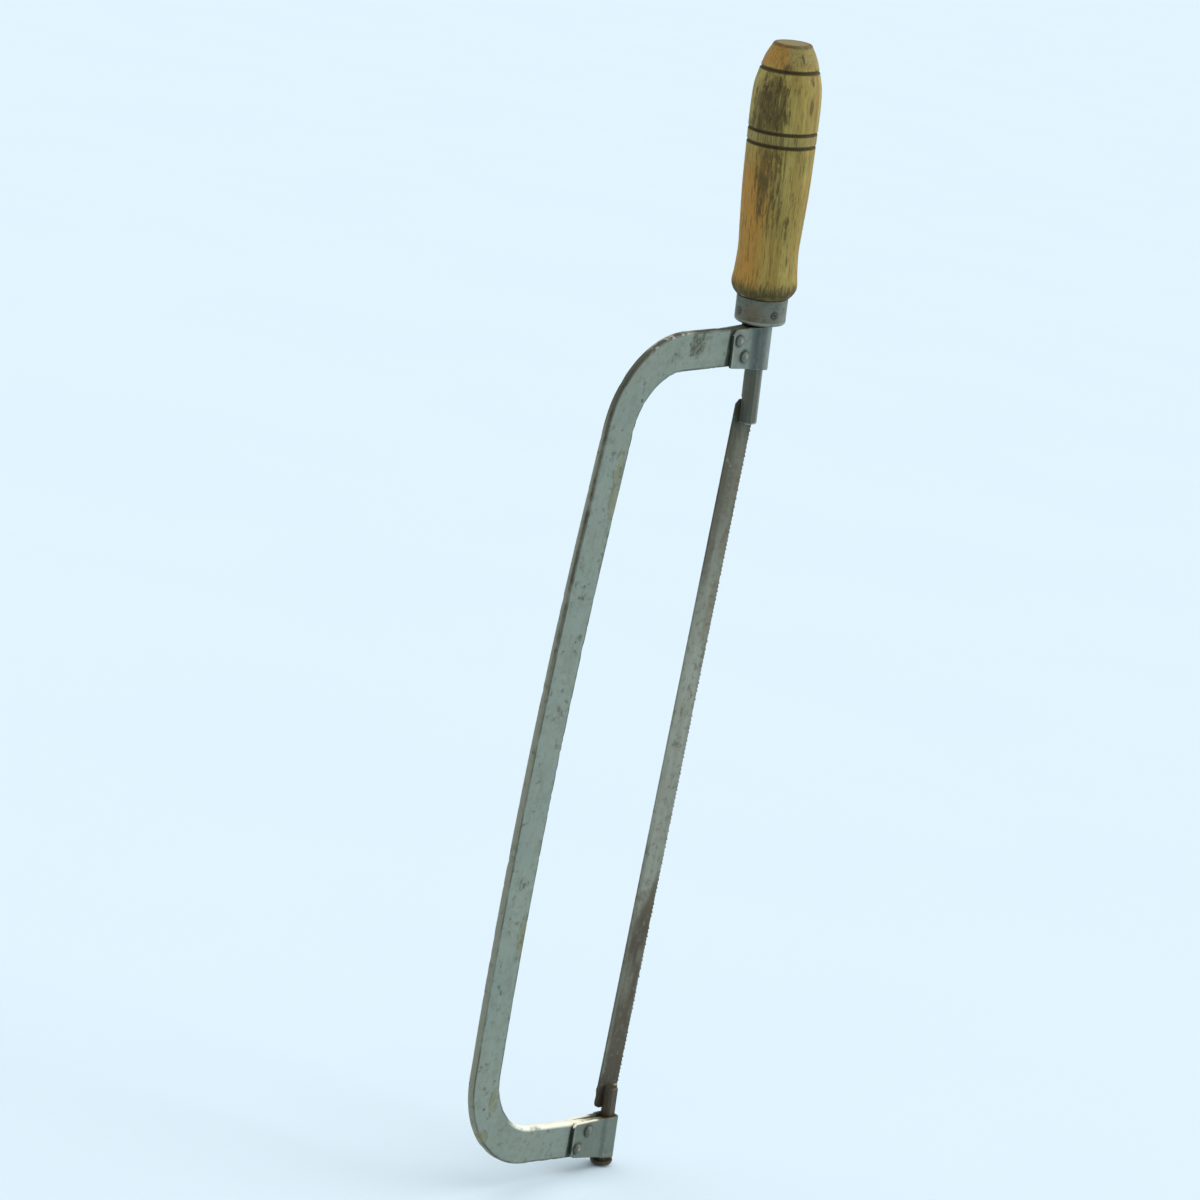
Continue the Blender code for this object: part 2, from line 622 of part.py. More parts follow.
def build():
    for old in list(bpy.data.objects):
        bpy.data.objects.remove(old, do_unlink=True)

    paint = material("grey_green_paint", (0.21, 0.26, 0.22), 0.55, 0.25)
    strap_paint = material("strap_paint", (0.14, 0.17, 0.15), 0.55, 0.3)
    dark_steel = material("dark_steel", (0.07, 0.08, 0.065), 0.5, 0.8)
    blade_steel = material("blade_steel", (0.20, 0.21, 0.17), 0.5, 0.85)
    wood = material("ochre_wood", (0.24, 0.15, 0.045), 0.55, 0.0)
    ferrule_steel = material("ferrule_steel", (0.085, 0.09, 0.07), 0.45, 0.8)

    saw = empty("saw", location=(-PEG_X, 0, -top_arm_underside(PEG_X)))
    upper_axis = empty("upper_axis", saw, (0, 0, PIN_DISTANCE), UPPER_LEAN)
    lower_axis = empty("lower_axis", saw, (0, 0, 0), LOWER_LEAN)

    upper_holes = [rivet_hole(f"upper_rivet_hole_{i}", p, saw) for i, p in enumerate(UPPER_RIVETS, 1)]
    lower_holes = [rivet_hole(f"lower_rivet_hole_{i}", p, saw) for i, p in enumerate(LOWER_RIVETS, 1)]
    make_bow(saw, paint, upper_holes + lower_holes)
    make_upper_strap(saw, strap_paint, upper_holes)
    make_lower_strap(saw, strap_paint, lower_holes)
    for i, place in enumerate(UPPER_RIVETS, 1):
        make_rivet(f"upper_rivet_{i}", place, saw, strap_paint)
    for i, place in enumerate(LOWER_RIVETS, 1):
        make_rivet(f"lower_rivet_{i}", place, saw, strap_paint)

    make_holder(lower_axis, dark_steel)
    make_pin("lower_holder_pin", lower_axis, dark_steel)
    make_drawbar(upper_axis, dark_steel)
    make_pin("drawbar_pin", upper_axis, dark_steel)
    make_blade(saw, blade_steel)

    pin_holes = []
    for i in range(FERRULE_PINS):
        turn = FERRULE_PIN_START + 360 * i / FERRULE_PINS
        radius = FERRULE_PIN_RADIUS + FERRULE_PIN_GAP
        inner = FERRULE_PIN_INNER - FIT_GAP
        outer = FERRULE_RADIUS + FERRULE_WALL
        hole = radial_pin(f"ferrule_pin_hole_{i + 1}", turn, radius, inner, outer, upper_axis, None)
        pin_holes.append(as_cutter(hole))
        inner = FERRULE_PIN_INNER
        outer = FERRULE_RADIUS + FERRULE_PIN_PROUD
        radial_pin(f"ferrule_pin_{i + 1}", turn, FERRULE_PIN_RADIUS, inner, outer, upper_axis, dark_steel)
    make_handle(upper_axis, wood, pin_holes)
    make_ferrule(upper_axis, ferrule_steel, pin_holes)
    make_nut(upper_axis, dark_steel)
    make_washer(upper_axis, dark_steel)


build()
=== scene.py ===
"""Looks of the bow saw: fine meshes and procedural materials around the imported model.

Each piece is modelled in millimetres in one of three sets of axes and then placed: the saw's own
(X from the spine to the teeth, Z along the blade from the lower pin), the leaning axis of the
drawbar and handle, and the leaning axis of the lower bar.
"""

import json
import math
import random
from itertools import accumulate

import bmesh
import bpy
from mathutils import Matrix, Vector, noise


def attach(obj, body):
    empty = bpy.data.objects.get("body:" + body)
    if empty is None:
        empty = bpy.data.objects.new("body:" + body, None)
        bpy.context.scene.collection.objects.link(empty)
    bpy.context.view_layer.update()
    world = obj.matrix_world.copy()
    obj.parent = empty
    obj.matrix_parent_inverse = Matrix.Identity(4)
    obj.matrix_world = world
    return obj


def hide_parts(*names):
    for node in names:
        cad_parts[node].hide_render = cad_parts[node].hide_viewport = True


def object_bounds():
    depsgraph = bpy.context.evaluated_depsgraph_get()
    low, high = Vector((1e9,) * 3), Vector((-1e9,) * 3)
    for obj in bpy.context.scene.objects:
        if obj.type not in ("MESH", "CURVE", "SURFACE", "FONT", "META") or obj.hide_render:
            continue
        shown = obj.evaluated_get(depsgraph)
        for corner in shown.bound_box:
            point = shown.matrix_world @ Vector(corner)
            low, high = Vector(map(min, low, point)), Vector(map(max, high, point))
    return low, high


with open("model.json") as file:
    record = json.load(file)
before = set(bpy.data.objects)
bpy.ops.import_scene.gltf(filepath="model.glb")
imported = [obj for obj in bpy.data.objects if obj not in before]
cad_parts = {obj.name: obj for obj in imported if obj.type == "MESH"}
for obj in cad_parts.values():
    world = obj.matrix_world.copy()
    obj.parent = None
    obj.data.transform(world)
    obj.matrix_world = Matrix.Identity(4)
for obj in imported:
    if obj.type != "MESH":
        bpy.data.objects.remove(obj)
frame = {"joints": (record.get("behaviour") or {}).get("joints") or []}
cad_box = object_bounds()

MM = 0.001

# Frame bar.
BAR_WIDTH = 16
BAR_THICKNESS = 3.2
BAR_CORNER = 0.55
BAR_RIM_FADE = 2.4
BOTTOM_ARM_RISE = -0.065
BOTTOM_ARM_AT_BLADE = -15.9
BOTTOM_ARM_END = -2.8
TOP_ARM_RISE = 0.08
TOP_ARM_AT_BLADE = 330.6
TOP_ARM_END = -8.6
SPINE_MIDDLE = (-90.5, 150)
SPINE_LEAN_BELOW = 0.042
SPINE_LEAN_ABOVE = 0.065
BEND_RADII = (37, 2150, 34.5)
BEND_STEPS = (30, 60, 34)
BAR_STEP = 1.4
NICK_REACH = 1.4
NICK_COUNT = 70
EDGE_WAVE = 0.07
FACE_HOLLOW = 0.05

# Blade and its pins.
PIN_DISTANCE = 300
PIN_RADIUS = 1.3
PIN_BLIND_DEPTH = -1.4
PIN_TIP = 5
PIN_TIP_ROUNDING = 0.45
PIN_SOCKET_GAP = 0.15
BLADE_WIDTH = 13
BLADE_THICKNESS = 0.65
BLADE_SIDE = 2.2
BLADE_ABOVE_PIN = 6.5
BLADE_BELOW_PIN = 4
BLADE_HOLE_RADIUS = 1.65
BLADE_FOOT_RADIUS = 3
BLADE_FOOT_CLIP = 1.2
BLADE_HEAD_CLIP = 2
BLADE_TIP_CLIP = 1
TOOTH_PITCH = 1.81
TOOTH_DEPTH = 0.6
TOOTH_SET = 0.12
TOOTHLESS_END = 9
TOOTH_ZONE = 2.2
BACK_THINNING = 0.65
BLADE_BOW = 0.04
BACK_WAVE = 0.05
BLADE_LUMPS = ((4.5, 1.6, 0.55), (1.2, 1.4, -0.3))
TENSION_TRAVEL = 2

# Drawbar and lower bar.
DRAWBAR_SIZE = 6.35
DRAWBAR_CHAMFER = 1.2
DRAWBAR_END = -3
DRAWBAR_SHOULDER = 37.5
TAIL_RADIUS = 2.95
TAIL_END = 72
TAIL_TIP = 0.6
TAIL_TIP_INSET = 0.7
BAR_END_TAPER = 0.5
THREAD_PITCH = 1
THREAD_DEPTH = 0.55
THREAD_STEPS = 6
THREAD_RUN_OUT = 1.5
SEAT_LENGTH = 8
SEAT_GAP = 0.3
LOWER_LEAN = -0.09
HOLDER_SIZE = 5
HOLDER_CHAMFER = 0.8
HOLDER_TOP = 6
HOLDER_HEAD_TOP = -27
HOLDER_HEAD_HEIGHT = 2
HOLDER_HEAD_RADIUS = 4.8
HOLDER_HEAD_ROUNDING = 1.4

# Folded straps.
STRAP_THICKNESS = 1.4
STRAP_GAP = 0.3
STRAP_EAR_EDGE = -23.4
STRAP_SLOPE_RADIUS = 1.5
STRAP_FOLD_SHARE = 0.58
STRAP_SLOPE_RUN = 1.4
STRAP_SLOPE_INSET = 0.8
STRAP_SLOPE_SLACK = 0.4
STRAP_CORNER = 0.35
STRAP_RIM_HALF = 0.12
STRAP_RIM_FADE = 1.6
STRAP_TOP_FADE = 0.5
STRAP_STEPS = 34
STRAP_SINK = 0.05
STRAP_WAVE = 0.06
DIMPLE_RADIUS = 1.1
DIMPLE_DEPTH = 0.45
UPPER_STRAP_BOTTOM = 320.4
UPPER_STRAP_TOP = 38.75
LOWER_STRAP_TOP = -6.6
LOWER_STRAP_FOOT = (-23, -22.2)
LOWER_STRAP_FOOT_RISE = -0.13

# Rivets.
UPPER_RIVETS = ((-19.9, 332.1), (-14.8, 325.6))
LOWER_RIVETS = ((-14.8, -10.7), (-19.9, -18))
RIVET_RADIUS = 1.5
RIVET_HEAD_RADIUS = 2.5
RIVET_HEAD_HEIGHT = 1.5
RIVET_HEAD_SINK = 0.1
RIVET_HALO = 1.3
HAMMER_MARKS = 0.16

# Handle, measured along its axis from the upper blade pin.
WASHER = (39.1, 39.7, 3.4, 6.4)
FERRULE_BOTTOM = 40
FERRULE_TOP = 50.7
FERRULE_RADIUS = 10.5
FERRULE_WALL = 0.8
FERRULE_ROUNDING = 1.3
FERRULE_HOLE_RADIUS = 3.6
FERRULE_DENTS = 0.07
PUNCH_RADIUS = 1
PUNCH_DEPTH = 0.3
PUNCH_RING = (1.75, 0.45)
PUNCH_RING_DEPTH = 0.16
SPIGOT_RADIUS = 9.4
SPIGOT_END = 41.2
SHOULDER = 51.1
HANDLE_END = 154.3
END_ROUNDING = 1.3
HANDLE_STATIONS = (
    (51.1, 10.8), (52.8, 12.3), (55.6, 13.4), (61, 12.9), (70, 12.35), (80, 12.85),
    (95, 13.6), (112, 13.95), (128, 14.05), (136.6, 13.65), (142.4, 12.4), (148.3, 10.6),
    (152.3, 8.6), (154.3, 7.2),
)
GROOVES = (114.2, 119.5, 144.1)
GROOVE_HALF_WIDTH = 0.7
GROOVE_DEPTH = 0.6
WOOD_DENTS = 0.1
WOOD_GRAIN = 0.035
NUT = (41.6, 46.6, 5.6)
NUT_RECESS_RADIUS = 6
TAIL_BORE_RADIUS = 3.4
TAIL_BORE_END = 80
FERRULE_PIN_HEIGHT = 44.9
FERRULE_PIN_RADIUS = 1.1
FERRULE_PIN_INNER = 6.9
FERRULE_PIN_OUTER = 10.75
FERRULE_PIN_START = -109
FERRULE_PINS = 4

# Camera: the place it looks at, in the saw's axes, and where it stands round that place.
CAMERA_AIM = (-71.7, 0, 224.3)
CAMERA_DISTANCE = 1558
CAMERA_AZIMUTH = -141.2
CAMERA_ELEVATION = 12
CAMERA_ROLL = 11.13
CAMERA_LENS = 117

# Floor and light. A sun is (name, the direction it shines from, strength, width in degrees).
FLOOR_RADIUS = 60
FLOOR_GAP = 0.0004
FLOOR_TONE = (0.652, 0.800, 0.922, 1)
FLOOR_TONE_CLOUDED = (0.660, 0.808, 0.928, 1)
BACKDROP = (0.76, 0.905, 0.985, 1)
CEILING = (0.32, 0.295, 0.265, 1)
BACKDROP_TOP = (0.17, 0.42)
SUN_COLOUR = (1, 0.975, 0.945)
SUNS = (
    ("key", (0.72, -0.45, 0.53), 2.25, 70),
    ("top", (-0.1, 0.15, 0.98), 1.35, 60),
)


def joint(name):
    return next(j for j in frame["joints"] if j["name"] == name)


UPPER_PIN = Vector(joint("handle_turn")["pos_m"])
UPPER_DIRECTION = Vector(joint("handle_turn")["axis"])
UPPER_LEAN = UPPER_DIRECTION.x / UPPER_DIRECTION.z
SAW_ORIGIN = UPPER_PIN - Vector((0, 0, PIN_DISTANCE * MM))
SAW_AXES = Matrix.Translation(SAW_ORIGIN)
UPPER_AXES = Matrix.Translation(UPPER_PIN) @ Matrix.Rotation(math.atan(UPPER_LEAN), 4, "Y")
LOWER_AXES = SAW_AXES @ Matrix.Rotation(math.atan(LOWER_LEAN), 4, "Y")


# ---------------------------------------------------------------- shapes

def smoothstep(low, high, value):
    part = min(max((value - low) / (high - low), 0), 1)
    return part * part * (3 - 2 * part)


def ripple(place, size, seed=0):
    """Smooth noise from -1 to 1 at a place in millimetres, with bumps of about this size."""
    return noise.noise(Vector(place) / size + Vector((seed, 2.7 * seed, -seed)))


def arc(centre, radius, start, end, steps):
    """Points on an arc, angles in degrees, both ends included."""
    angles = [math.radians(start + (end - start) * i / steps) for i in range(steps + 1)]
    return [(centre[0] + radius * math.cos(a), centre[1] + radius * math.sin(a)) for a in angles]


def rounded_path(corners, radii, steps):
    """A line through the corners, with an arc of the given radius in place of each inner corner."""
    points = [corners[0]]
    for before, here, after, radius, count in zip(corners, corners[1:], corners[2:], radii, steps):
        here = Vector(here)
        back = (Vector(before) - here).normalized()
        ahead = (Vector(after) - here).normalized()
        half = back.angle(ahead) / 2
        centre = here + (back + ahead).normalized() * radius / math.sin(half)
        first = here + back * radius / math.tan(half) - centre
        sweep = first.angle_signed(here + ahead * radius / math.tan(half) - centre)
        for i in range(count + 1):
            turn = Matrix.Rotation(-sweep * i / count, 2)
            points.append(tuple(centre + turn @ first))
    points.append(corners[-1])
    return points


def even_steps(path, step):
    """The same line with a point about every step, its own points kept."""
    places = [Vector(point) for point in path]
    dense = [places[0]]
    for here, there in zip(places, places[1:]):
        count = max(1, round((there - here).length / step))
        dense += [here.lerp(there, (i + 1) / count) for i in range(count)]
    return dense


def side_vectors(places):
    """The unit vector to the left of a plane line at each of its points."""
    sides = []
    for i in range(len(places)):
        along = places[min(i + 1, len(places) - 1)] - places[max(i - 1, 0)]
        along.normalize()
        sides.append(Vector((-along.y, along.x)))
    return sides


def lengths(line):
    """How far along the line each of its points lies."""
    return list(accumulate([(there - here).length for here, there in zip(line, line[1:])], initial=0))


def skin(rings, caps="flat", loop=False):
    """A mesh over rings of points in millimetres, where a ring of one point is a pole.

    Each point is (x, y, z) or (x, y, z, {name: value}), with values for the shaders. caps are
    "flat", one face over each end ring, "strip", quads across it, or None. loop joins the last ring
    to the first."""
    mesh = bmesh.new()
    names = sorted({name for ring in rings for point in ring if len(point) > 3 for name in point[3]})
    layers = {name: mesh.verts.layers.float.new(name) for name in names}
    rows = []
    for ring in rings:
        row = []
        for x, y, z, *values in ring:
            vert = mesh.verts.new(Vector((x, y, z)) * MM)
            for name, value in (values[0] if values else {}).items():
                vert[layers[name]] = value
            row.append(vert)
        rows.append(row)
    count = max(len(row) for row in rows)
    rows = [row if len(row) > 1 else row * count for row in rows]
    for low, high in zip(rows, rows[1:] + rows[:1] if loop else rows[1:]):
        for i in range(count):
            j = (i + 1) % count
            mesh.faces.new(list(dict.fromkeys((low[i], low[j], high[j], high[i]))))
    if caps == "flat":
        mesh.faces.new(rows[0][::-1])
        mesh.faces.new(rows[-1])
    if caps == "strip":
        for row in (rows[0], rows[-1]):
            for i in range(count // 2 - 1):
                mesh.faces.new((row[i], row[i + 1], row[-i - 2], row[-i - 1]))
    return mesh


def turned(outline, sides, change=None):
    """Revolve (radius, height[, values]) points about Z. The outline closes, or ends at radius 0.

    change(place, radius) may move a point in or out: it returns how far, and values."""
    rings = []
    for radius, height, *own in outline:
        ring = []
        for i in range(sides if radius else 1):
            turn = 2 * math.pi * i / sides
            side = Vector((math.cos(turn), math.sin(turn), 0))
            place = side * radius + Vector((0, 0, height))
            shift, extra = change(place, radius) if change and radius else (0, {})
            ring.append((*(place + side * shift), {**(own[0] if own else {}), **extra}))
        rings.append(ring)
    return skin(rings, caps=None, loop=outline[0][0] > 0)


def show(name, data):
    """A new object in the scene."""
    made = bpy.data.objects.new(name, data)
    bpy.context.scene.collection.objects.link(made)
    return made


def placed(name, shape, axes):
    """The mesh of a shape that was made in these axes."""
    shape.transform(axes)
    bmesh.ops.recalc_face_normals(shape, faces=shape.faces)
    mesh = bpy.data.meshes.new(name)
    shape.to_mesh(mesh)
    shape.free()
    return mesh


def piece(name, shape, axes, body, look, node, sharp_degrees=40):
    """Link a shape as a visible piece that rides on a body and stands for a CAD node."""
    mesh = placed(name, shape, axes)
    mesh.materials.append(look)
    mesh.shade_smooth()
    mesh.set_sharp_from_angle(angle=math.radians(sharp_degrees))
    made = show(name, mesh)
    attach(made, body)
    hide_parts(node)
    return made


def apply_modifiers(made):
    """Turn the evaluated shape into the object's own mesh, and drop its modifiers."""
    bpy.context.view_layer.update()
    seen = made.evaluated_get(bpy.context.evaluated_depsgraph_get())
    mesh = bpy.data.meshes.new_from_object(seen)
    made.modifiers.clear()
    made.data = mesh


def carve(made, axes, *shapes, operation="DIFFERENCE"):
    """Cut shapes made in these axes away from the piece, or join them to it."""
    tools = [show("tool", placed("tool", shape, axes)) for shape in shapes]
    for tool in tools:
        change = made.modifiers.new(tool.name, "BOOLEAN")
        change.operation = operation
        change.solver = "EXACT"
        change.object = tool
    apply_modifiers(made)
    for tool in tools:
        bpy.data.objects.remove(tool, do_unlink=True)


def soften(made, width, segments=2, degrees=30):
    """Round the sharp edges."""
    change = made.modifiers.new("rounded edges", "BEVEL")
    change.width = width * MM
    change.segments = segments
    change.limit_method = "ANGLE"
    change.angle_limit = math.radians(degrees)
    change.harden_normals = True
    apply_modifiers(made)


def rounding(distance, radius):
    """How far a rounded edge of this radius has drawn in, at a distance from the end."""
    if distance >= radius:
        return 0
    return radius - math.sqrt(max(radius**2 - (radius - distance) ** 2, 0))


def across_cylinder(centre, radius, low, high, sides=32):
    ring = arc(centre, radius, 0, 360 * (sides - 1) / sides, sides - 1)
    return skin([[(x, y, z) for x, z in ring] for y in (low, high)])


def box(low, high):
    corners = ((low[0], low[1]), (high[0], low[1]), (high[0], high[1]), (low[0], high[1]))
    return skin([[(x, y, z) for x, y in corners] for z in (low[2], high[2])])


# ---------------------------------------------------------------- frame bar

def bow_path():
    """The centre line of the bent bar, from the bottom arm's end to the top arm's."""
    middle_x, middle_z = SPINE_MIDDLE
    bottom_end = (BOTTOM_ARM_END, BOTTOM_ARM_AT_BLADE + BOTTOM_ARM_RISE * BOTTOM_ARM_END)
    top_end = (TOP_ARM_END, TOP_ARM_AT_BLADE + TOP_ARM_RISE * TOP_ARM_END)
    bottom_x = middle_x + SPINE_LEAN_BELOW * (middle_z - BOTTOM_ARM_AT_BLADE)
    bottom_x /= 1 + SPINE_LEAN_BELOW * BOTTOM_ARM_RISE
    top_x = middle_x + SPINE_LEAN_ABOVE * (TOP_ARM_AT_BLADE - middle_z)
    top_x /= 1 - SPINE_LEAN_ABOVE * TOP_ARM_RISE
    bottom_corner = (bottom_x, BOTTOM_ARM_AT_BLADE + BOTTOM_ARM_RISE * bottom_x)
    top_corner = (top_x, TOP_ARM_AT_BLADE + TOP_ARM_RISE * top_x)
    corners = (bottom_end, bottom_corner, SPINE_MIDDLE, top_corner, top_end)
    return rounded_path(corners, BEND_RADII, BEND_STEPS)


def bar_section():
    """The flat bar's section as (across, through, rim, narrow) points, anticlockwise from one corner.

    rim is 1 on the rounded corners and fades on to the broad face; narrow is 1 on the narrow faces."""
    inner_width = BAR_WIDTH / 2 - BAR_CORNER
    top = BAR_THICKNESS / 2
    corner = arc((inner_width, top - BAR_CORNER), BAR_CORNER, 0, 90, 3)
    quarter = [(u, v, 1, 1 if i < 2 else 0) for i, (u, v) in enumerate(corner)]
    for inset in (0.5, 1.2, 2.2, 3.6, 5.4):
        quarter.append((inner_width - inset, top, max(0, 1 - inset / BAR_RIM_FADE), 0))
    half = quarter + [(0, top, 0, 0)] + [(-u, *rest) for u, *rest in reversed(quarter)]
    half.append((-BAR_WIDTH / 2, 0, 1, 1))
    return half + [(-u, -v, rim, narrow) for u, v, rim, narrow in half]


def bar_nicks(length):
    """Small dents along the bar's corners: (place, side, depth, half length)."""
    draw = random.Random(7)
    nicks = []
    for _ in range(NICK_COUNT):
        side = draw.choice((-1, -1, 1))
        nicks.append((draw.uniform(0, length), side, draw.uniform(0.08, 0.3), draw.uniform(0.9, 3.2)))
    return nicks


def make_bow(look):
    places = even_steps(bow_path(), BAR_STEP)
    run = lengths(places)
    section = bar_section()
    nicks = bar_nicks(run[-1])
    rings = []
    for here, side, s in zip(places, side_vectors(places), run):
        dent = {-1: 0, 1: 0}
        for at, which, depth, reach in nicks:
            near = abs(s - at) / reach
            if near < 1:
                dent[which] += depth * (1 - near * near) ** 2
        ring = []
        for u, v, rim, narrow in section:
            which = 1 if u > 0 else -1
            edge = EDGE_WAVE * ripple((s, 0, which * 40), 9) * smoothstep(5, 8, abs(u))
            hollow = FACE_HOLLOW * ripple((s, u, v), 14, 3) * (1 - narrow)
            cut = dent[which] * max(0, 1 - (BAR_WIDTH / 2 - abs(u)) / NICK_REACH)
            across = u - which * cut + which * min(edge, 0)
            thick = v - math.copysign(abs(hollow) + 0.35 * cut, v) * (1 if v else 0)
            spot = here + side * across
            ring.append((spot.x, thick, spot.y, {"rim": rim, "narrow": narrow, "run": s, "span": u}))
        rings.append(ring)
    piece("bow_flat_bar", skin(rings), SAW_AXES, "frame", look, "frame_bow")


# ---------------------------------------------------------------- folded straps

def strap_line(bar_size, ear_edge):
    """The strap's middle line across the bar: one ear, round the bar, and the other ear."""
    ear = BAR_THICKNESS / 2 + STRAP_GAP + STRAP_THICKNESS / 2
    wrap = bar_size / 2 + STRAP_GAP + STRAP_THICKNESS / 2
    slope_end = -wrap - STRAP_SLOPE_INSET
    slope_start = slope_end - STRAP_SLOPE_RUN * (wrap - ear) - STRAP_SLOPE_SLACK
    fold = STRAP_FOLD_SHARE * wrap
    slope = STRAP_SLOPE_RADIUS
    corners = [(ear_edge, ear), (slope_start, ear), (slope_end, wrap), (wrap, wrap)]
    corners += [(x, -y) for x, y in reversed(corners)]
    radii = (slope, slope, fold, fold, slope, slope)
    return even_steps(rounded_path(corners, radii, (5, 5, 14, 14, 5, 5)), 0.6)


def make_strap(name, node, look, bar_size, lean, pin_height, arm_at_blade, low, high, dimple, rivets):
    """A strap with its ends at low(x) and high(x), the heights at each X from the blade."""
    axis_x = lean * (arm_at_blade - pin_height)
    line = strap_line(bar_size, STRAP_EAR_EDGE - axis_x)
    run = lengths(line)
    ends = (0, 0.1, 0.22, STRAP_CORNER)
    rings = []
    for here, side, s in zip(line, side_vectors(line), run):
        from_end = min(s, run[-1] - s)
        bottom = low(here.x + axis_x)
        top = high(here.x + axis_x)
        step = (top - bottom - 2 * STRAP_CORNER) / STRAP_STEPS
        heights = [bottom + d for d in ends]
        heights += [bottom + STRAP_CORNER + step * i for i in range(1, STRAP_STEPS)]
        heights += [top - d for d in reversed(ends)]
        ring = []
        for which in (1, -1):
            for height in heights[::which]:
                to_rim = min(height - bottom, top - height)
                inset = rounding(from_end, STRAP_CORNER) + rounding(to_rim, STRAP_CORNER)
                point = here + side * which * max(STRAP_THICKNESS / 2 - inset, STRAP_RIM_HALF)
                x = point.x + lean * (height - pin_height)
                y = point.y
                if (y > 0) == (side.y * which > 0) and abs(side.y) > 0.2 and from_end > 1:
                    y -= math.copysign(STRAP_SINK + STRAP_WAVE * ripple((x, y, height), 5, 5), y)
                    gap = math.hypot(x - dimple[0], height - dimple[1]) / DIMPLE_RADIUS
                    if y < 0 and gap < 1:
                        y += DIMPLE_DEPTH * (1 - gap**2) ** 2
                near = min(math.hypot(x - rivet[0], height - rivet[1]) for rivet in rivets)
                values = {
                    "rim": max(0, 1 - min(from_end, to_rim) / STRAP_RIM_FADE),
                    "edge": from_end,
                    "across": here.x,
                    # halo is 1 round each rivet head, for painted shade and dirt there.
                    "halo": 1 - smoothstep(0, RIVET_HALO, near - RIVET_HEAD_RADIUS),
                    "top": 1 - smoothstep(0, STRAP_TOP_FADE, top - height),
                }
                ring.append((x, y, height, values))
        rings.append(ring)
    piece(name, skin(rings, caps="strip"), SAW_AXES, "frame", look, node, 50)


def make_straps(look):
    slant = math.hypot(1, UPPER_LEAN)
    top_z = PIN_DISTANCE + UPPER_STRAP_TOP * slant

    def clip(x, reach, slope=1):
        """How much is cut off an ear's corner at this X."""
        return slope * max(0, STRAP_EAR_EDGE + reach - x)

    def upper_low(x):
        return UPPER_STRAP_BOTTOM + clip(x, 0.7, 0.5)

    def upper_high(x):
        return top_z - UPPER_LEAN * x - clip(x, 2.9, 0.85)

    def lower_low(x):
        foot_x, foot_z = LOWER_STRAP_FOOT
        return foot_z + LOWER_STRAP_FOOT_RISE * (x - foot_x) + clip(x, 2)

    def lower_high(x):
        return LOWER_STRAP_TOP - clip(x, 1.5)

    make_strap(
        "upper_folded_strap", "upper_sleeve", look, DRAWBAR_SIZE, UPPER_LEAN, PIN_DISTANCE,
        TOP_ARM_AT_BLADE, upper_low, upper_high, (-8.3, 324.5), UPPER_RIVETS,
    )
    make_strap(
        "lower_folded_strap", "lower_sleeve", look, HOLDER_SIZE, LOWER_LEAN, 0,
        BOTTOM_ARM_AT_BLADE, lower_low, lower_high, (-1.4, -22.6), LOWER_RIVETS,
    )


def make_rivet(seed, place, name, node, look):
    """A shank through both ears and the bar, with a hammered dome on each side."""
    face = BAR_THICKNESS / 2 + STRAP_GAP + STRAP_THICKNESS + 0.02
    dome_radius = (RIVET_HEAD_RADIUS**2 + RIVET_HEAD_HEIGHT**2) / (2 * RIVET_HEAD_HEIGHT)
    edge = math.degrees(math.asin(RIVET_HEAD_RADIUS / dome_radius))
    centre = face + RIVET_HEAD_HEIGHT - dome_radius
    dome = arc((0, centre), dome_radius, 90 - edge, 90, 10)[-2::-1]
    outline = [(0, face + RIVET_HEAD_HEIGHT, {"dome": 1})]
    outline += [(radius, height, {"dome": (height - face) / RIVET_HEAD_HEIGHT}) for radius, height in dome]
    under = face - RIVET_HEAD_SINK
    outline += [(RIVET_HEAD_RADIUS - 0.15, under), (RIVET_RADIUS, under)]
    outline += [(radius, -height, *own) for radius, height, *own in reversed(outline)]

    def hammered(spot, radius):
        return -HAMMER_MARKS * abs(ripple(spot, 1.5, 11 * seed)), {}

    spot = Matrix.Translation(Vector((place[0], 0, place[1])) * MM)
    axes = SAW_AXES @ spot @ Matrix.Rotation(math.pi / 2, 4, "X")
    piece(name, turned(outline, 36, hammered), axes, "frame", look, node, 55)


# ---------------------------------------------------------------- bars and pins

def octagon(size, chamfer):
    half = size / 2
    inner = half - chamfer
    return (
        (half, -inner), (half, inner), (inner, half), (-inner, half),
        (-half, inner), (-half, -inner), (-inner, -half), (inner, -half),
    )


def square_bar(size, chamfer, low, high, taper_low=0, taper_high=0):
    levels = [(low, taper_low), (low + taper_low, 0), (high - taper_high, 0), (high, taper_high)]
    rings = []
    for height, taper in dict.fromkeys(levels):
        scale = (size - 2 * taper) / size
        rings.append([(x * scale, y * scale, height) for x, y in octagon(size, chamfer)])
    return skin(rings)


def threaded_tail():
    """A single helical thread, run out at both ends."""
    low = DRAWBAR_SHOULDER - 1
    high = TAIL_END - TAIL_TIP
    count = int((high - low) / THREAD_PITCH * THREAD_STEPS)
    outline = [(0, low)] + [(TAIL_RADIUS, low + (high - low) * i / count) for i in range(count + 1)]
    outline += [(TAIL_RADIUS - TAIL_TIP_INSET, TAIL_END), (0, TAIL_END)]

    def thread(spot, radius):
        if radius < TAIL_RADIUS:
            return 0, {}
        turn = math.atan2(spot.y, spot.x) / (2 * math.pi)
        phase = (spot.z / THREAD_PITCH - turn) % 1
        fade = smoothstep(0, THREAD_RUN_OUT, min(spot.z - low, TAIL_END - spot.z))
        return -THREAD_DEPTH * 2 * abs(phase - 0.5) * fade, {}

    return turned(outline, 32, thread)


def join_shape(made, extra, axes):
    """Add a second closed shape to a piece's mesh."""
    both = bmesh.new()
    both.from_mesh(made.data)
    mesh = placed("extra", extra, axes)
    both.from_mesh(mesh)
    both.to_mesh(made.data)
    both.free()
    bpy.data.meshes.remove(mesh)


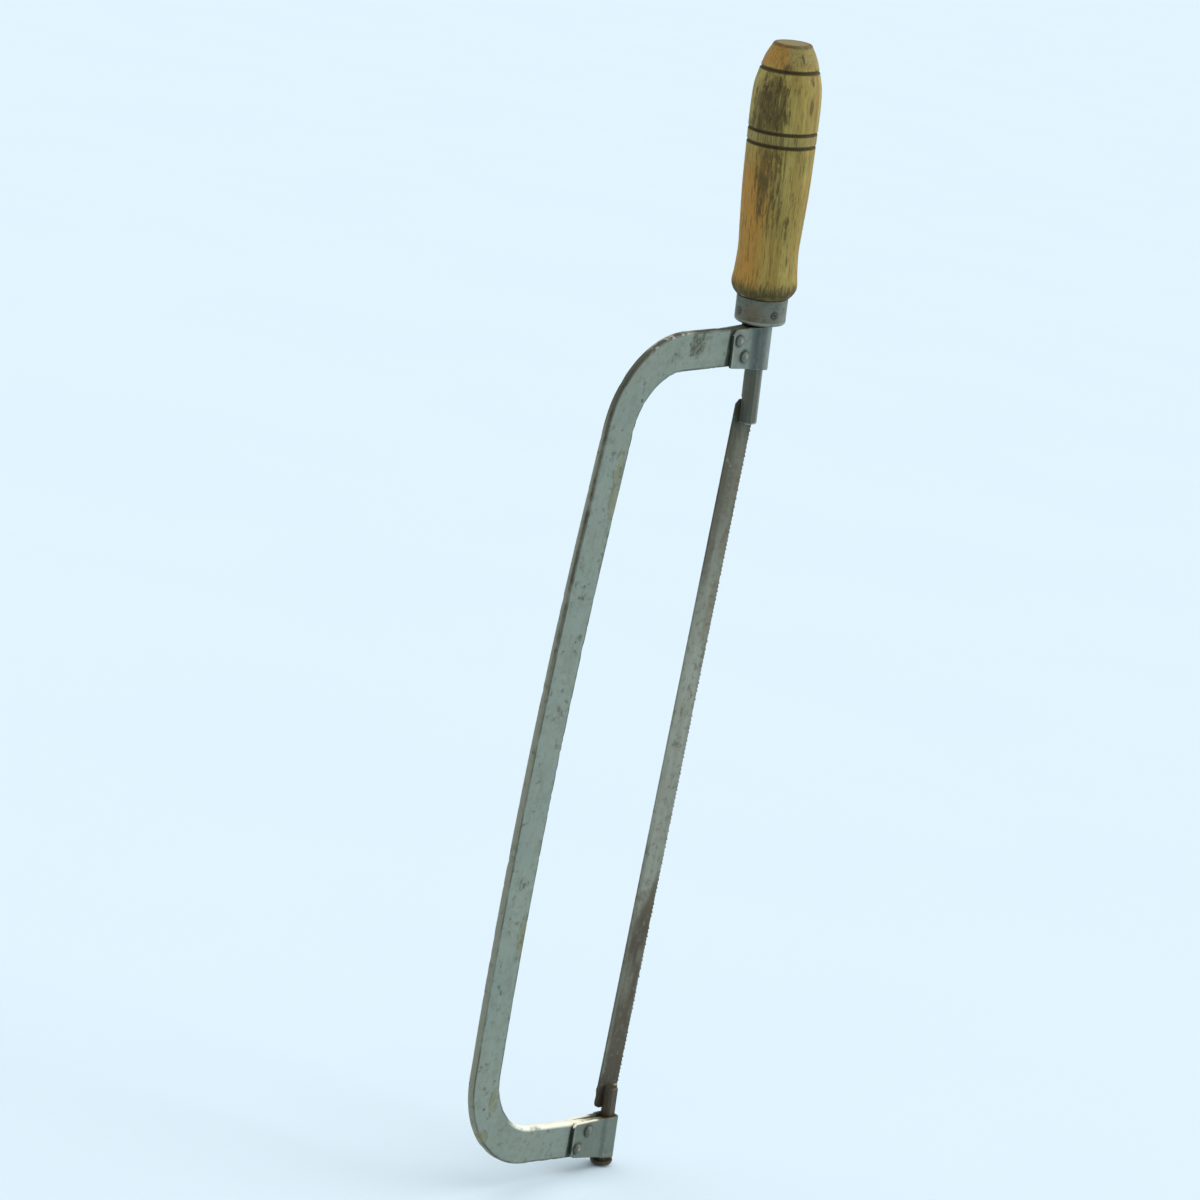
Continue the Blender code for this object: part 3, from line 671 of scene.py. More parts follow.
def pin_socket():
    """The hole that a stud sits in, a little wider and deeper than the stud."""
    radius = PIN_RADIUS + PIN_SOCKET_GAP
    return across_cylinder((0, 0), radius, PIN_BLIND_DEPTH - 2 * PIN_SOCKET_GAP, PIN_TIP)


def make_drawbar(look):
    bar = square_bar(DRAWBAR_SIZE, DRAWBAR_CHAMFER, DRAWBAR_END, DRAWBAR_SHOULDER, taper_low=BAR_END_TAPER)
    made = piece("drawbar_body", bar, UPPER_AXES, "drawbar", look, "drawbar", 30)
    size = DRAWBAR_SIZE
    seat = box((-size, BLADE_SIDE - SEAT_GAP, DRAWBAR_END - 2), (size, size, SEAT_LENGTH))
    carve(made, UPPER_AXES, seat, pin_socket())
    soften(made, 0.16)
    join_shape(made, threaded_tail(), UPPER_AXES)


def make_holder(look):
    low = HOLDER_HEAD_TOP - HOLDER_HEAD_HEIGHT
    root = HOLDER_HEAD_TOP - HOLDER_HEAD_HEIGHT / 4
    bar = square_bar(HOLDER_SIZE, HOLDER_CHAMFER, root, HOLDER_TOP, taper_high=BAR_END_TAPER)
    made = piece("lower_holder_body", bar, LOWER_AXES, "frame", look, "lower_holder", 30)
    rim = (HOLDER_HEAD_RADIUS - HOLDER_HEAD_ROUNDING, low + HOLDER_HEAD_ROUNDING)
    dome = arc(rim, HOLDER_HEAD_ROUNDING, -90, 0, 8)
    outline = [(0, low)] + dome + [(HOLDER_HEAD_RADIUS, HOLDER_HEAD_TOP), (0, HOLDER_HEAD_TOP)]
    carve(made, LOWER_AXES, turned(outline, 48), operation="UNION")
    size = HOLDER_SIZE
    seat = box((-size, BLADE_SIDE - SEAT_GAP, -SEAT_LENGTH), (size, size, HOLDER_TOP + 2))
    carve(made, LOWER_AXES, seat, pin_socket())
    soften(made, 0.14)


def make_stud(name, node, body, axes, look):
    """A short pin across a bar, with a rounded tip, that the blade hooks on."""
    centre = (PIN_RADIUS - PIN_TIP_ROUNDING, PIN_TIP - PIN_TIP_ROUNDING)
    tip = arc(centre, PIN_TIP_ROUNDING, 0, 90, 5)
    outline = [(0, PIN_BLIND_DEPTH), (PIN_RADIUS, PIN_BLIND_DEPTH)] + tip + [(0, PIN_TIP)]
    across = axes @ Matrix.Rotation(-math.pi / 2, 4, "X")
    piece(name, turned(outline, 32), across, body, look, node)


# ---------------------------------------------------------------- blade

def tooth_edge():
    """The toothed edge as (height, how far it has drawn back, sideways set) from foot to head."""
    low = -BLADE_BELOW_PIN
    high = PIN_DISTANCE + BLADE_ABOVE_PIN
    first = low + TOOTHLESS_END
    count = int((high - TOOTHLESS_END - first) / TOOTH_PITCH)
    shape = ((0, 0), (0.14, 0.08), (0.45, 0.5), (0.72, 0.93), (0.86, 1), (0.95, 0.62))
    points = [(low + TOOTHLESS_END * i / 10, 0, 0) for i in range(10)]
    draw = random.Random(3)
    for i in range(count):
        lean = TOOTH_SET * (-1 if i % 2 else 1) * draw.uniform(0.6, 1)
        worn = draw.random() ** 2 * 0.8
        for share, depth in shape:
            back = TOOTH_DEPTH * max(depth, worn)
            points.append((first + (i + share) * TOOTH_PITCH, back, lean * (1 - depth)))
    last = first + count * TOOTH_PITCH
    points += [(last + (high - last) * i / 10, 0, 0) for i in range(11)]
    return points


def blade_back(height):
    """How far the plain back has drawn in near the rounded foot and the clipped head."""
    from_head = PIN_DISTANCE + BLADE_ABOVE_PIN - height
    return max(rounding(height + BLADE_BELOW_PIN, BLADE_FOOT_RADIUS), BLADE_HEAD_CLIP - from_head)


def make_blade(look):
    half = BLADE_WIDTH / 2
    high = PIN_DISTANCE + BLADE_ABOVE_PIN
    spread = (0, 0.12, 0.5, 1.4, 3.2, 5, 6.8, 8.6, 10.2, 11.2, 11.8, 12.3, 12.7, BLADE_WIDTH)
    rings = []
    for height, back, lean in tooth_edge():
        foot_clip = max(0, BLADE_FOOT_CLIP - (height + BLADE_BELOW_PIN))
        tip_clip = max(0, BLADE_TIP_CLIP - (high - height))
        edge = half - back - foot_clip - tip_clip
        lump = sum(out * max(0, 1 - abs(height - at) / reach) for at, reach, out in BLADE_LUMPS)
        wave = BACK_WAVE * max(0, ripple((0, 3, height), 6))
        start = -half + blade_back(height) + wave - lump
        ring = []
        for side in (-1, 1):
            order = spread if side < 0 else spread[::-1]
            for d in order:
                x = start + (edge - start) * d / BLADE_WIDTH
                near_edge = max(0, (x - half) / TOOTH_ZONE + 1)
                thin = BLADE_THICKNESS / 2 * (1 if d else BACK_THINNING)
                bow = BLADE_BOW * ripple((x, 0, height), 45, 2)
                y = BLADE_SIDE + BLADE_THICKNESS / 2 + side * thin + lean * near_edge**2 + bow
                values = {"teeth": near_edge, "rim": 1 if d < 0.2 or d > 12.6 else 0}
                ring.append((x, y, height, values))
        rings.append(ring)
    made = piece("blade_toothed", skin(rings), SAW_AXES, "blade", look, "blade", 45)
    wide = (BLADE_SIDE - 2, BLADE_SIDE + BLADE_THICKNESS + 2)
    slot_top = TENSION_TRAVEL + 0.3
    slot_ring = arc((0, slot_top), BLADE_HOLE_RADIUS, 0, 180, 16)
    slot_ring += arc((0, 0), BLADE_HOLE_RADIUS, 180, 360, 16)
    slot_cut = skin([[(x, y, z) for x, z in slot_ring] for y in wide])
    hole_cut = across_cylinder((0, PIN_DISTANCE), BLADE_HOLE_RADIUS, *wide)
    carve(made, SAW_AXES, slot_cut, hole_cut)


# ---------------------------------------------------------------- handle

def handle_radius(height):
    """The turned handle's outer radius: a smooth curve through its stations, less the grooves."""
    stations = HANDLE_STATIONS
    for i in range(len(stations) - 1):
        if height <= stations[i + 1][0]:
            break
    low, high = stations[i], stations[i + 1]
    before = stations[max(i - 1, 0)]
    after = stations[min(i + 2, len(stations) - 1)]
    span = high[0] - low[0]
    low_slope = (high[1] - before[1]) / (high[0] - before[0]) * span
    high_slope = (after[1] - low[1]) / (after[0] - low[0]) * span
    s = (height - low[0]) / span
    radius = (2 * s**3 - 3 * s**2 + 1) * low[1] + (s**3 - 2 * s**2 + s) * low_slope
    radius += (3 * s**2 - 2 * s**3) * high[1] + (s**3 - s**2) * high_slope
    for groove in GROOVES:
        radius -= GROOVE_DEPTH * groove_share(height, groove)
    return radius


def groove_share(height, groove):
    return smoothstep(0, 1, 1 - abs(height - groove) / GROOVE_HALF_WIDTH)


def handle_heights():
    heights = [SHOULDER + (HANDLE_END - END_ROUNDING - SHOULDER) * i / 150 for i in range(151)]
    for groove in GROOVES:
        heights = [h for h in heights if abs(h - groove) > 1.15 * GROOVE_HALF_WIDTH]
        heights += [groove + GROOVE_HALF_WIDTH * i / 6 for i in range(-6, 7)]
    return sorted(heights)


def make_handle(look):
    outline = [(0, TAIL_BORE_END), (TAIL_BORE_RADIUS, TAIL_BORE_END), (TAIL_BORE_RADIUS, NUT[1] + 0.3)]
    outline += [(NUT_RECESS_RADIUS, NUT[1] + 0.3), (NUT_RECESS_RADIUS, SPIGOT_END)]
    outline += [(SPIGOT_RADIUS, SPIGOT_END), (SPIGOT_RADIUS, SHOULDER)]
    for height in handle_heights():
        share = max(1 - smoothstep(0.35, 1.25, abs(height - groove)) for groove in GROOVES)
        outline.append((handle_radius(height), height, {"groove": share}))
    rim = handle_radius(HANDLE_END - END_ROUNDING) - END_ROUNDING
    for radius, height in arc((rim, HANDLE_END - END_ROUNDING), END_ROUNDING - 0.05, 20, 90, 6):
        outline.append((radius, height, {"rim": 0.8}))
    for share in (0.85, 0.6, 0.35, 0.12):
        outline.append((rim * share, HANDLE_END - 0.05, {"end": 1}))
    outline.append((0, HANDLE_END - 0.05, {"end": 1}))

    def worn(spot, radius):
        if radius < 9.45 or spot.z < SHOULDER:
            return 0, {}
        dent = WOOD_DENTS * ripple((spot.x, spot.y, spot.z * 0.5), 7, 4)
        grain = WOOD_GRAIN * ripple((spot.x * 1.6, spot.y * 1.6, spot.z * 0.12), 1, 9)
        return min(dent + grain, 0), {}

    piece("handle_turned_wood", turned(outline, 160, worn), UPPER_AXES, "handle", look,
          "handle_wood", 35)


def ferrule_pin_turn(number):
    return math.radians(FERRULE_PIN_START + 360 * number / FERRULE_PINS)


def make_ferrule(look):
    inner = FERRULE_RADIUS - FERRULE_WALL
    centre = (FERRULE_RADIUS - FERRULE_ROUNDING, FERRULE_BOTTOM + FERRULE_ROUNDING)
    outline = [(FERRULE_HOLE_RADIUS, FERRULE_BOTTOM, {"rim": 0.4}), (7, FERRULE_BOTTOM)]
    outline += [(r, z, {"rim": 0.5}) for r, z in arc(centre, FERRULE_ROUNDING, -90, 0, 8)]
    wall = FERRULE_TOP - 0.25 - centre[1]
    outline += [(FERRULE_RADIUS, centre[1] + wall * i / 22) for i in range(1, 22)]
    lip = arc((FERRULE_RADIUS - 0.3, FERRULE_TOP - 0.3), 0.3, 0, 90, 4)
    outline += [(r, z, {"rim": 1}) for r, z in lip]
    outline += [(inner, FERRULE_TOP)] + arc(centre, FERRULE_ROUNDING - FERRULE_WALL, 0, -90, 4)
    outline.append((FERRULE_HOLE_RADIUS, FERRULE_BOTTOM + FERRULE_WALL))

    def punched(spot, radius):
        """A shallow ring and hole where each pin was driven, and slight dents elsewhere."""
        if radius < FERRULE_RADIUS - 0.05:
            return 0, {}
        shift = FERRULE_DENTS * min(ripple(spot, 5, 6), 0)
        mark = 0
        turn = math.atan2(spot.y, spot.x)
        for number in range(FERRULE_PINS):
            away = (turn - ferrule_pin_turn(number) + math.pi) % (2 * math.pi) - math.pi
            gap = math.hypot(away * FERRULE_RADIUS, spot.z - FERRULE_PIN_HEIGHT)
            shift -= PUNCH_DEPTH * (1 - smoothstep(PUNCH_RADIUS, PUNCH_RADIUS + 0.35, gap))
            ring, width = PUNCH_RING
            shift -= PUNCH_RING_DEPTH * max(0, 1 - ((gap - ring) / width) ** 2)
            mark = max(mark, 1 - smoothstep(PUNCH_RADIUS, PUNCH_RADIUS + 1.4, gap))
        return shift, {"punch": mark}

    piece("ferrule_cap", turned(outline, 220, punched), UPPER_AXES, "handle", look,
          "ferrule")


def make_ferrule_pin(number, look):
    """A driven pin whose flat head has a punched centre."""
    radius = FERRULE_PIN_RADIUS
    outer = FERRULE_PIN_OUTER - 0.12
    outline = [(0, FERRULE_PIN_INNER), (radius, FERRULE_PIN_INNER), (radius, outer - 0.3)]
    outline += [(0.95, outer - 0.08, {"rim": 1}), (0.75, outer, {"rim": 1}), (0.55, outer - 0.03)]
    outline += [(0.36, outer - 0.22, {"punch": 1}), (0, outer - 0.34, {"punch": 1})]
    turn = Matrix.Rotation(ferrule_pin_turn(number - 1), 4, "Z") @ Matrix.Rotation(math.pi / 2, 4, "Y")
    axes = UPPER_AXES @ Matrix.Translation((0, 0, FERRULE_PIN_HEIGHT * MM)) @ turn
    name = f"ferrule_pin_{number}"
    piece(f"ferrule_nail_{number}", turned(outline, 28), axes, "handle", look, name, 60)


def make_nut(look):
    low, high, corner = NUT
    outer = arc((0, 0), corner, 0, 300, 5)
    made = piece("handle_hex_nut", skin([[(x, y, z) for x, y in outer] for z in (low, high)]), UPPER_AXES,
                 "handle", look, "handle_nut", 30)
    bore = TAIL_RADIUS + 0.3
    hole = turned([(0, low - 2), (bore, low - 2), (bore, high + 2), (0, high + 2)], 40)
    carve(made, UPPER_AXES, hole)
    soften(made, 0.2)


def make_washer(look):
    low, high, hole, rim = WASHER
    lip = 0.12
    outline = [(hole, low + lip), (hole + lip, low), (rim - lip, low), (rim, low + lip)]
    outline += [(rim, high - lip), (rim - lip, high), (hole + lip, high), (hole, high - lip)]
    piece("thrust_washer_ring", turned(outline, 64), UPPER_AXES, "frame", look, "thrust_washer")


# ---------------------------------------------------------------- materials

def srgb(red, green, blue):
    """A colour given as 0 to 255 in sRGB, as the shaders' linear values."""
    channels = [c / 255 for c in (red, green, blue)]
    return tuple(c / 12.92 if c <= 0.04045 else ((c + 0.055) / 1.055) ** 2.4 for c in channels) + (1,)


def feed(socket, value):
    """Link an output to this input, or set the input's own value."""
    value = getattr(value, "socket", value)
    if isinstance(value, bpy.types.NodeSocket):
        socket.id_data.links.new(value, socket)
    else:
        socket.default_value = value


def add_node(tree, kind, inputs=None, **settings):
    """A node with its inputs, by name or number, and its settings."""
    node = tree.nodes.new(kind)
    for key, value in settings.items():
        setattr(node, key, value)
    for key, value in (inputs or {}).items():
        feed(node.inputs[key], value)
    return node


class Value:
    """A number that a material works out at each place. Arithmetic on it adds math nodes."""

    def __init__(self, look, socket):
        self.look = look
        self.socket = socket

    def __add__(self, other):
        return self.look.calc("ADD", self, other)

    def __sub__(self, other):
        return self.look.calc("SUBTRACT", self, other)

    def __mul__(self, other):
        return self.look.calc("MULTIPLY", self, other)

    def __truediv__(self, other):
        return self.look.calc("DIVIDE", self, other)

    def __abs__(self):
        return self.look.calc("ABSOLUTE", self)

    def span(self, low, high, start=0, end=1):
        """Map low..high to start..end smoothly, and hold the ends."""
        inputs = dict(enumerate((self, low, high, start, end)))
        node = self.look.add("ShaderNodeMapRange", inputs, interpolation_type="SMOOTHSTEP")
        return Value(self.look, node.outputs[0])

    def band(self, low, high, soft):
        """1 between low and high, falling to 0 over a soft distance beyond each."""
        return self.span(low - soft, low) * self.span(high, high + soft, 1, 0)

    def ragged(self, *noises):
        """Pushed up and down by (noise, amount) pairs, to break up the outline of a mask."""
        value = self
        for noise_value, amount in noises:
            value = value + (noise_value - 0.5) * amount
        return value


class Look:
    """One Principled material in a piece's own axes, with short names for the nodes that feed it.

    x, y and z are the place in those axes, in millimetres. A colour is a node's output, three
    numbers from 0 to 255 in sRGB, or four linear ones."""

    def __init__(self, name, axes, roughness=0.5, metallic=0, specular=0.5):
        self.material = bpy.data.materials.new(name)
        self.material.use_nodes = True
        self.tree = self.material.node_tree
        self.shader = self.tree.nodes["Principled BSDF"]
        self.shader.inputs["Roughness"].default_value = roughness
        self.shader.inputs["Metallic"].default_value = metallic
        self.shader.inputs["Specular IOR Level"].default_value = specular
        inputs = {
            "Vector": self.add("ShaderNodeTexCoord").outputs["Object"],
            "Location": axes.to_translation(),
            "Rotation": axes.to_euler(),
        }
        self.place = self.add("ShaderNodeMapping", inputs, vector_type="TEXTURE").outputs[0]
        parts = self.add("ShaderNodeSeparateXYZ", {0: self.place})
        self.x, self.y, self.z = (Value(self, socket) / MM for socket in parts.outputs)

    def add(self, kind, inputs=None, **settings):
        return add_node(self.tree, kind, inputs, **settings)

    def calc(self, operation, first, second=0):
        node = self.add("ShaderNodeMath", {0: first, 1: second}, operation=operation)
        return Value(self, node.outputs[0])

    def most(self, *values):
        largest = values[0]
        for value in values[1:]:
            largest = self.calc("MAXIMUM", largest, value)
        return largest

    def mix(self, share, first, second):
        inputs = {0: share, 6: first, 7: second}
        for key, colour in inputs.items():
            if isinstance(colour, tuple) and len(colour) == 3:
                inputs[key] = srgb(*colour)
        return self.add("ShaderNodeMix", inputs, data_type="RGBA").outputs[2]

    def layer(self, tone, *coats):
        """Coats of (mask, colour), each over what is below it."""
        for mask, colour in coats:
            tone = self.mix(mask, tone, colour)
        return tone

    def stretch(self, scale, shift=(0, 0, 0), place=None):
        inputs = {"Vector": place or self.place, "Location": shift, "Scale": scale}
        return self.add("ShaderNodeMapping", inputs).outputs[0]

    def noise(self, scale, detail=3, roughness=0.55, distortion=0, place=None):
        inputs = {
            "Vector": place or self.place, "Scale": scale, "Detail": detail,
            "Roughness": roughness, "Distortion": distortion,
        }
        return Value(self, self.add("ShaderNodeTexNoise", inputs).outputs["Fac"])

    def streaks(self, scale, detail=4, roughness=0.6, place=None):
        """Noise stretched by a scale for each axis."""
        return self.noise(1, detail, roughness, place=self.stretch(scale, place=place))

    def field(self, name):
        """A value that the piece's mesh carries."""
        return Value(self, self.add("ShaderNodeAttribute", attribute_name=name).outputs["Fac"])

    def facing(self, degrees):
        """How far a place lies from the Z axis, in millimetres, in a direction round that axis."""
        turn = math.radians(degrees)
        return self.x * math.cos(turn) + self.y * math.sin(turn)

    def bar_place(self):
        """Coordinates that follow the bent bar: along it, across it, and through it, in metres."""
        inputs = {0: self.field("run") * MM, 1: self.field("span") * MM, 2: self.y * MM}
        return self.add("ShaderNodeCombineXYZ", inputs).outputs[0]

    def spot(self, centre, radii, soft=0.6):
        """1 at a place given in millimetres, falling to 0 at these radii."""
        scale = [1 / (radius * MM) for radius in radii]
        shift = [-at / radius for at, radius in zip(centre, radii)]
        node = self.add("ShaderNodeVectorMath", {0: self.stretch(scale, shift)}, operation="LENGTH")
        return Value(self, node.outputs["Value"]).span(1 - soft, 1, 1, 0)

    def spots(self, *places):
        return self.most(*(self.spot(*place) for place in places))

    def finish(self, colour, roughness, height, depth):
        """Feed the shader, with a bump of this depth in millimetres, and return the material."""
        bump = self.add("ShaderNodeBump", {"Strength": 0.6, "Distance": depth * MM, "Height": height})
        feed(self.shader.inputs["Base Color"], colour)
        feed(self.shader.inputs["Roughness"], roughness)
        feed(self.shader.inputs["Normal"], bump.outputs[0])
        return self.material


RUST = (92, 72, 50)
GRIME = (50, 51, 41)
# Cream for painted highlights on upper edges lit from above.
HIGHLIGHT_CREAM = (244, 243, 224)


def bow_paint():
    look = Look("worn_grey_green_bar", SAW_AXES, metallic=0.12, specular=0.3)
    bar = look.bar_place()
    rim = look.field("rim")
    narrow = look.field("narrow")
    run = look.field("run")
    across = look.field("span")
    x = look.x
    cloud = look.noise(24, 3)
    mottle = look.noise(260, 5, 0.66)
    grit = look.noise(1500, 4, 0.72)
    drag = look.streaks((60, 700, 300), place=bar)
    patchy = look.noise(60, 4, 0.65, 0.6)
    coarse = look.noise(140, 4, 0.6)
    tone = look.mix(cloud.span(0.35, 0.65), (120, 134, 125), (128, 140, 130))
    tone = look.layer(
        tone,
        (look.z.span(180, 330, 0, 0.6), (117, 130, 121)),
        (patchy.span(0.5, 0.75, 0, 0.5), (122, 129, 112)),
        (mottle.span(0.46, 0.7, 0, 0.5), (106, 117, 105)),
        (drag.span(0.52, 0.75, 0, 0.3), (144, 153, 142)),
        (drag.span(0.46, 0.3, 0, 0.3), (104, 113, 104)),
        (grit.span(0.55, 0.76, 0, 0.6), (88, 95, 83)),
        (grit.span(0.42, 0.28, 0, 0.4), (146, 156, 146)),
    )
    corner_line = abs(across).band(7.3, 8.2, 0.5) * narrow.span(0.9, 0.4)
    corner_line = corner_line * patchy.span(0.35, 0.6, 0.25, 0.95)
    near_side = narrow * look.y.span(0.5, -0.7) * patchy.span(0.34, 0.55, 0.45, 1)
    side_tone = look.mix(mottle.span(0.4, 0.62), (88, 84, 68), (60, 56, 43))
    tone = look.layer(
        tone,
        (narrow * 0.85, (140, 138, 120)),
        (near_side * look.z.span(150, 250, 0.1, 1), side_tone),
        (corner_line * 0.75, (64, 61, 48)),
        (narrow * look.z.span(288, 310, 0, 0.8), (66, 69, 58)),
    )
    bend_worn = rim.span(0.75, 1) * x.band(-78, -52, 8)
    bend_worn = bend_worn * look.z.span(322, 330) * coarse.span(0.47, 0.55)
    # Painted highlight: the bottom arm's upward edge, lit from above, in cream.
    inner_top_highlight = across.span(-5.9, -7.3) * run.band(18, 60, 12)
    inner_top_highlight = inner_top_highlight * coarse.span(0.34, 0.5, 0.25, 1)
    specks = look.noise(560, 3, 0.6).span(0.68, 0.75) * cloud.span(0.42, 0.6, 0.2, 1)
    olive = look.spots(
        ((-78, -1.6, 279), (3.4, 3, 9.5)), ((-77.4, -1.6, 265), (3, 3, 10)),
        ((-78.6, -1.6, 11), (3.2, 3, 8)), ((-82, -1.6, -4.5), (4.5, 3, 4.5)),
        ((-80.8, -1.6, 83), (4, 3, 12)),
    )
    olive_edge = olive.span(0, 0.3) * olive.span(0.8, 0.3)
    marked = look.spot((-43.4, -1.6, 330), (7.4, 3, 6.8), 0.9).ragged((look.noise(300, 3), 2))
    marked = marked.span(0.1, 0.6)
    dots = look.spots(
        ((-83.8, -1.6, 8.4), (0.9, 3, 0.9)), ((-71.8, -1.6, 306.7), (0.9, 3, 1.2)),
        ((-50.8, -1.6, 335.6), (3.5, 3, 1)), ((-56, -1.6, 334.2), (2.2, 3, 0.9)),
    )
    # Painted shadow and some grime: a dark band on the bar along each strap ear's edge.
    ear_shadow_and_grime = x.band(-24.1, -22, 0.8) * narrow.span(0.9, 0.3)
    tone = look.layer(
        tone,
        (bend_worn * 0.8, (166, 172, 160)),
        (specks, (74, 72, 58)),
        (olive * mottle.span(0.3, 0.5) * 0.8, (118, 120, 90)),
        (olive_edge * mottle.span(0.4, 0.55) * 0.6, (84, 88, 68)),
        (look.spot((-36.8, -1.6, 328.6), (2.4, 3, 2), 0.9) * mottle.span(0.3, 0.6) * 0.75, (112, 100, 68)),
        (look.spot((-84.5, -1.6, -3.8), (2.4, 3, 2)) * 0.7, (132, 112, 52)),
        (marked * 0.7, (88, 92, 76)),
        (marked * look.noise(620, 3, 0.6).span(0.56, 0.44) * 0.75, (56, 60, 48)),
        (dots * 0.8, GRIME),
        (ear_shadow_and_grime * mottle.span(0.3, 0.55, 0.7, 0.95), (62, 67, 57)),
        (inner_top_highlight, HIGHLIGHT_CREAM),
    )
    return look.finish(tone, mottle.span(0.3, 0.7, 0.5, 0.68), mottle * 0.7 + grit * 0.3, 0.14)


def strap_paint():
    look = Look("worn_grey_green_strap", SAW_AXES, metallic=0.15, specular=0.3)
    rim = look.field("rim")
    edge = look.field("edge")
    across = look.field("across")
    top = look.field("top")
    upper = look.z.span(100, 200)
    lower = look.z.span(200, 100)
    cloud = look.noise(90, 3)
    mottle = look.noise(400, 5, 0.65)
    grit = look.noise(1600, 4, 0.7)
    worn = look.noise(260, 3, 0.6, 0.3)
    # wrap marks the strap's front over the bar. On the upper strap it carries painted shade.
    wrap = across.span(-8.5, -4.5) * across.span(2.2, -2.6)
    # Painted shade: a dark line down the lower strap's right fold, where it turns from the light.
    right_fold_shade = lower * across.span(3, 3.6) * worn.span(0.35, 0.55, 0.3, 0.9)
    tone = look.mix(cloud.span(0.35, 0.65), (112, 123, 116), (119, 130, 120))
    tone = look.layer(
        tone,
        (mottle.span(0.42, 0.75, 0, 0.5), (88, 97, 88)),
        # Painted shade: the upper strap's wrap is darker, as a rounder fold turning from the light would
        # be.
        (upper * wrap * cloud.span(0.3, 0.6, 0.85, 1), (64, 74, 71)),
        # Painted highlight: the right of the upper wrap, where the fold turns towards the light.
        (upper * across.span(-0.5, 2.4) * 0.75, (126, 136, 132)),
        (lower * 0.6, (94, 104, 96)),
        (grit.span(0.55, 0.8, 0, 0.55), (72, 77, 68)),
        # Painted shade with some dirt: a darker ring round each rivet head.
        (look.field("halo") * mottle.span(0.3, 0.6, 0.4, 0.85), (64, 70, 62)),
        (rim.span(0.5, 0.95) * worn.span(0.44, 0.58) * 0.75, (136, 141, 126)),
        (rim.span(0.5, 0.95) * look.noise(180, 4, 0.6).span(0.52, 0.62) * 0.7, RUST),
        (edge.band(0.45, 0.95, 0.15) * worn.span(0.38, 0.55, 0.2, 0.8), (140, 148, 137)),
        # Painted shadow with some grime: the strap's cut ends are dark, for the shaded gap at each ear's
        # edge.
        (edge.span(0.42, 0.3) * 0.95, (48, 52, 44)),
        (right_fold_shade, (62, 56, 44)),
        # The lower strap's top face: brownish over the wrap, with a painted highlight in cream on the
        # ears, lit from above.
        (top * lower, look.mix(across.span(-8, -11.5), (86, 84, 68), HIGHLIGHT_CREAM)),
    )
    return look.finish(tone, mottle.span(0.3, 0.7, 0.46, 0.64), mottle * 0.7 + grit * 0.3, 0.12)


def rivet_paint():
    look = Look("worn_rivet_heads", SAW_AXES, metallic=0.2, specular=0.35)
    dome = look.field("dome")
    mottle = look.noise(700, 4, 0.6)
    lower = look.z.span(200, 100)
    tone = look.mix(mottle.span(0.35, 0.65), (94, 105, 98), (108, 118, 108))
    tone = look.layer(
        tone,
        (lower * 0.6, (88, 88, 74)),
        # Painted shade with some grime: each dome is darker towards its foot on the strap.
        (dome.span(0.55, 0.15, 0, 0.9), (50, 54, 46)),
        (dome.span(0.88, 0.97) * mottle.span(0.35, 0.55) * 0.8, (146, 152, 140)),
    )
    return look.finish(tone, mottle.span(0.3, 0.7, 0.4, 0.58), mottle, 0.1)


def bar_steel(name, axes, light, dark, rust, rusted, worn):
    """Dark drawn steel. rusted is how far it has rusted, from 0 to 1. worn, from 0 to 1, is how far its
    end is worn, and also sets the pale left strip and the painted highlight on the right chamfer.
    """
    look = Look(name, axes, metallic=0.3, specular=0.35)
    x = look.x
    y = look.y
    height = look.z
    mottle = look.noise(420, 5, 0.65)
    drag = look.streaks((900, 900, 60))
    grit = look.noise(1800, 3, 0.7)
    tone = look.mix(drag.span(0.35, 0.65), dark, light)
    worn_end = height.band(DRAWBAR_END + 0.1, DRAWBAR_END + 0.7, 0.25) * worn
    tone = look.layer(
        tone,
        (mottle.span(0.62 - 0.3 * rusted, 0.8 - 0.3 * rusted) * 0.75, rust),
        (x.span(-2.7, -3) * y.span(0.4, 1.6) * worn, (104, 99, 79)),
        # Painted highlight: the right part of the near face and its chamfer, towards the light.
        (y.span(-2.7, -3) * x.span(0.4, 1.4) * worn, (128, 135, 126)),
        (worn_end * mottle.span(0.35, 0.55), (138, 144, 134)),
        (grit.span(0.58, 0.8, 0, 0.6), (42, 42, 34)),
        (look.field("punch") * 0.9, (34, 34, 27)),
    )
    return look.finish(tone, drag.span(0.3, 0.7, 0.4, 0.62), mottle, 0.15)


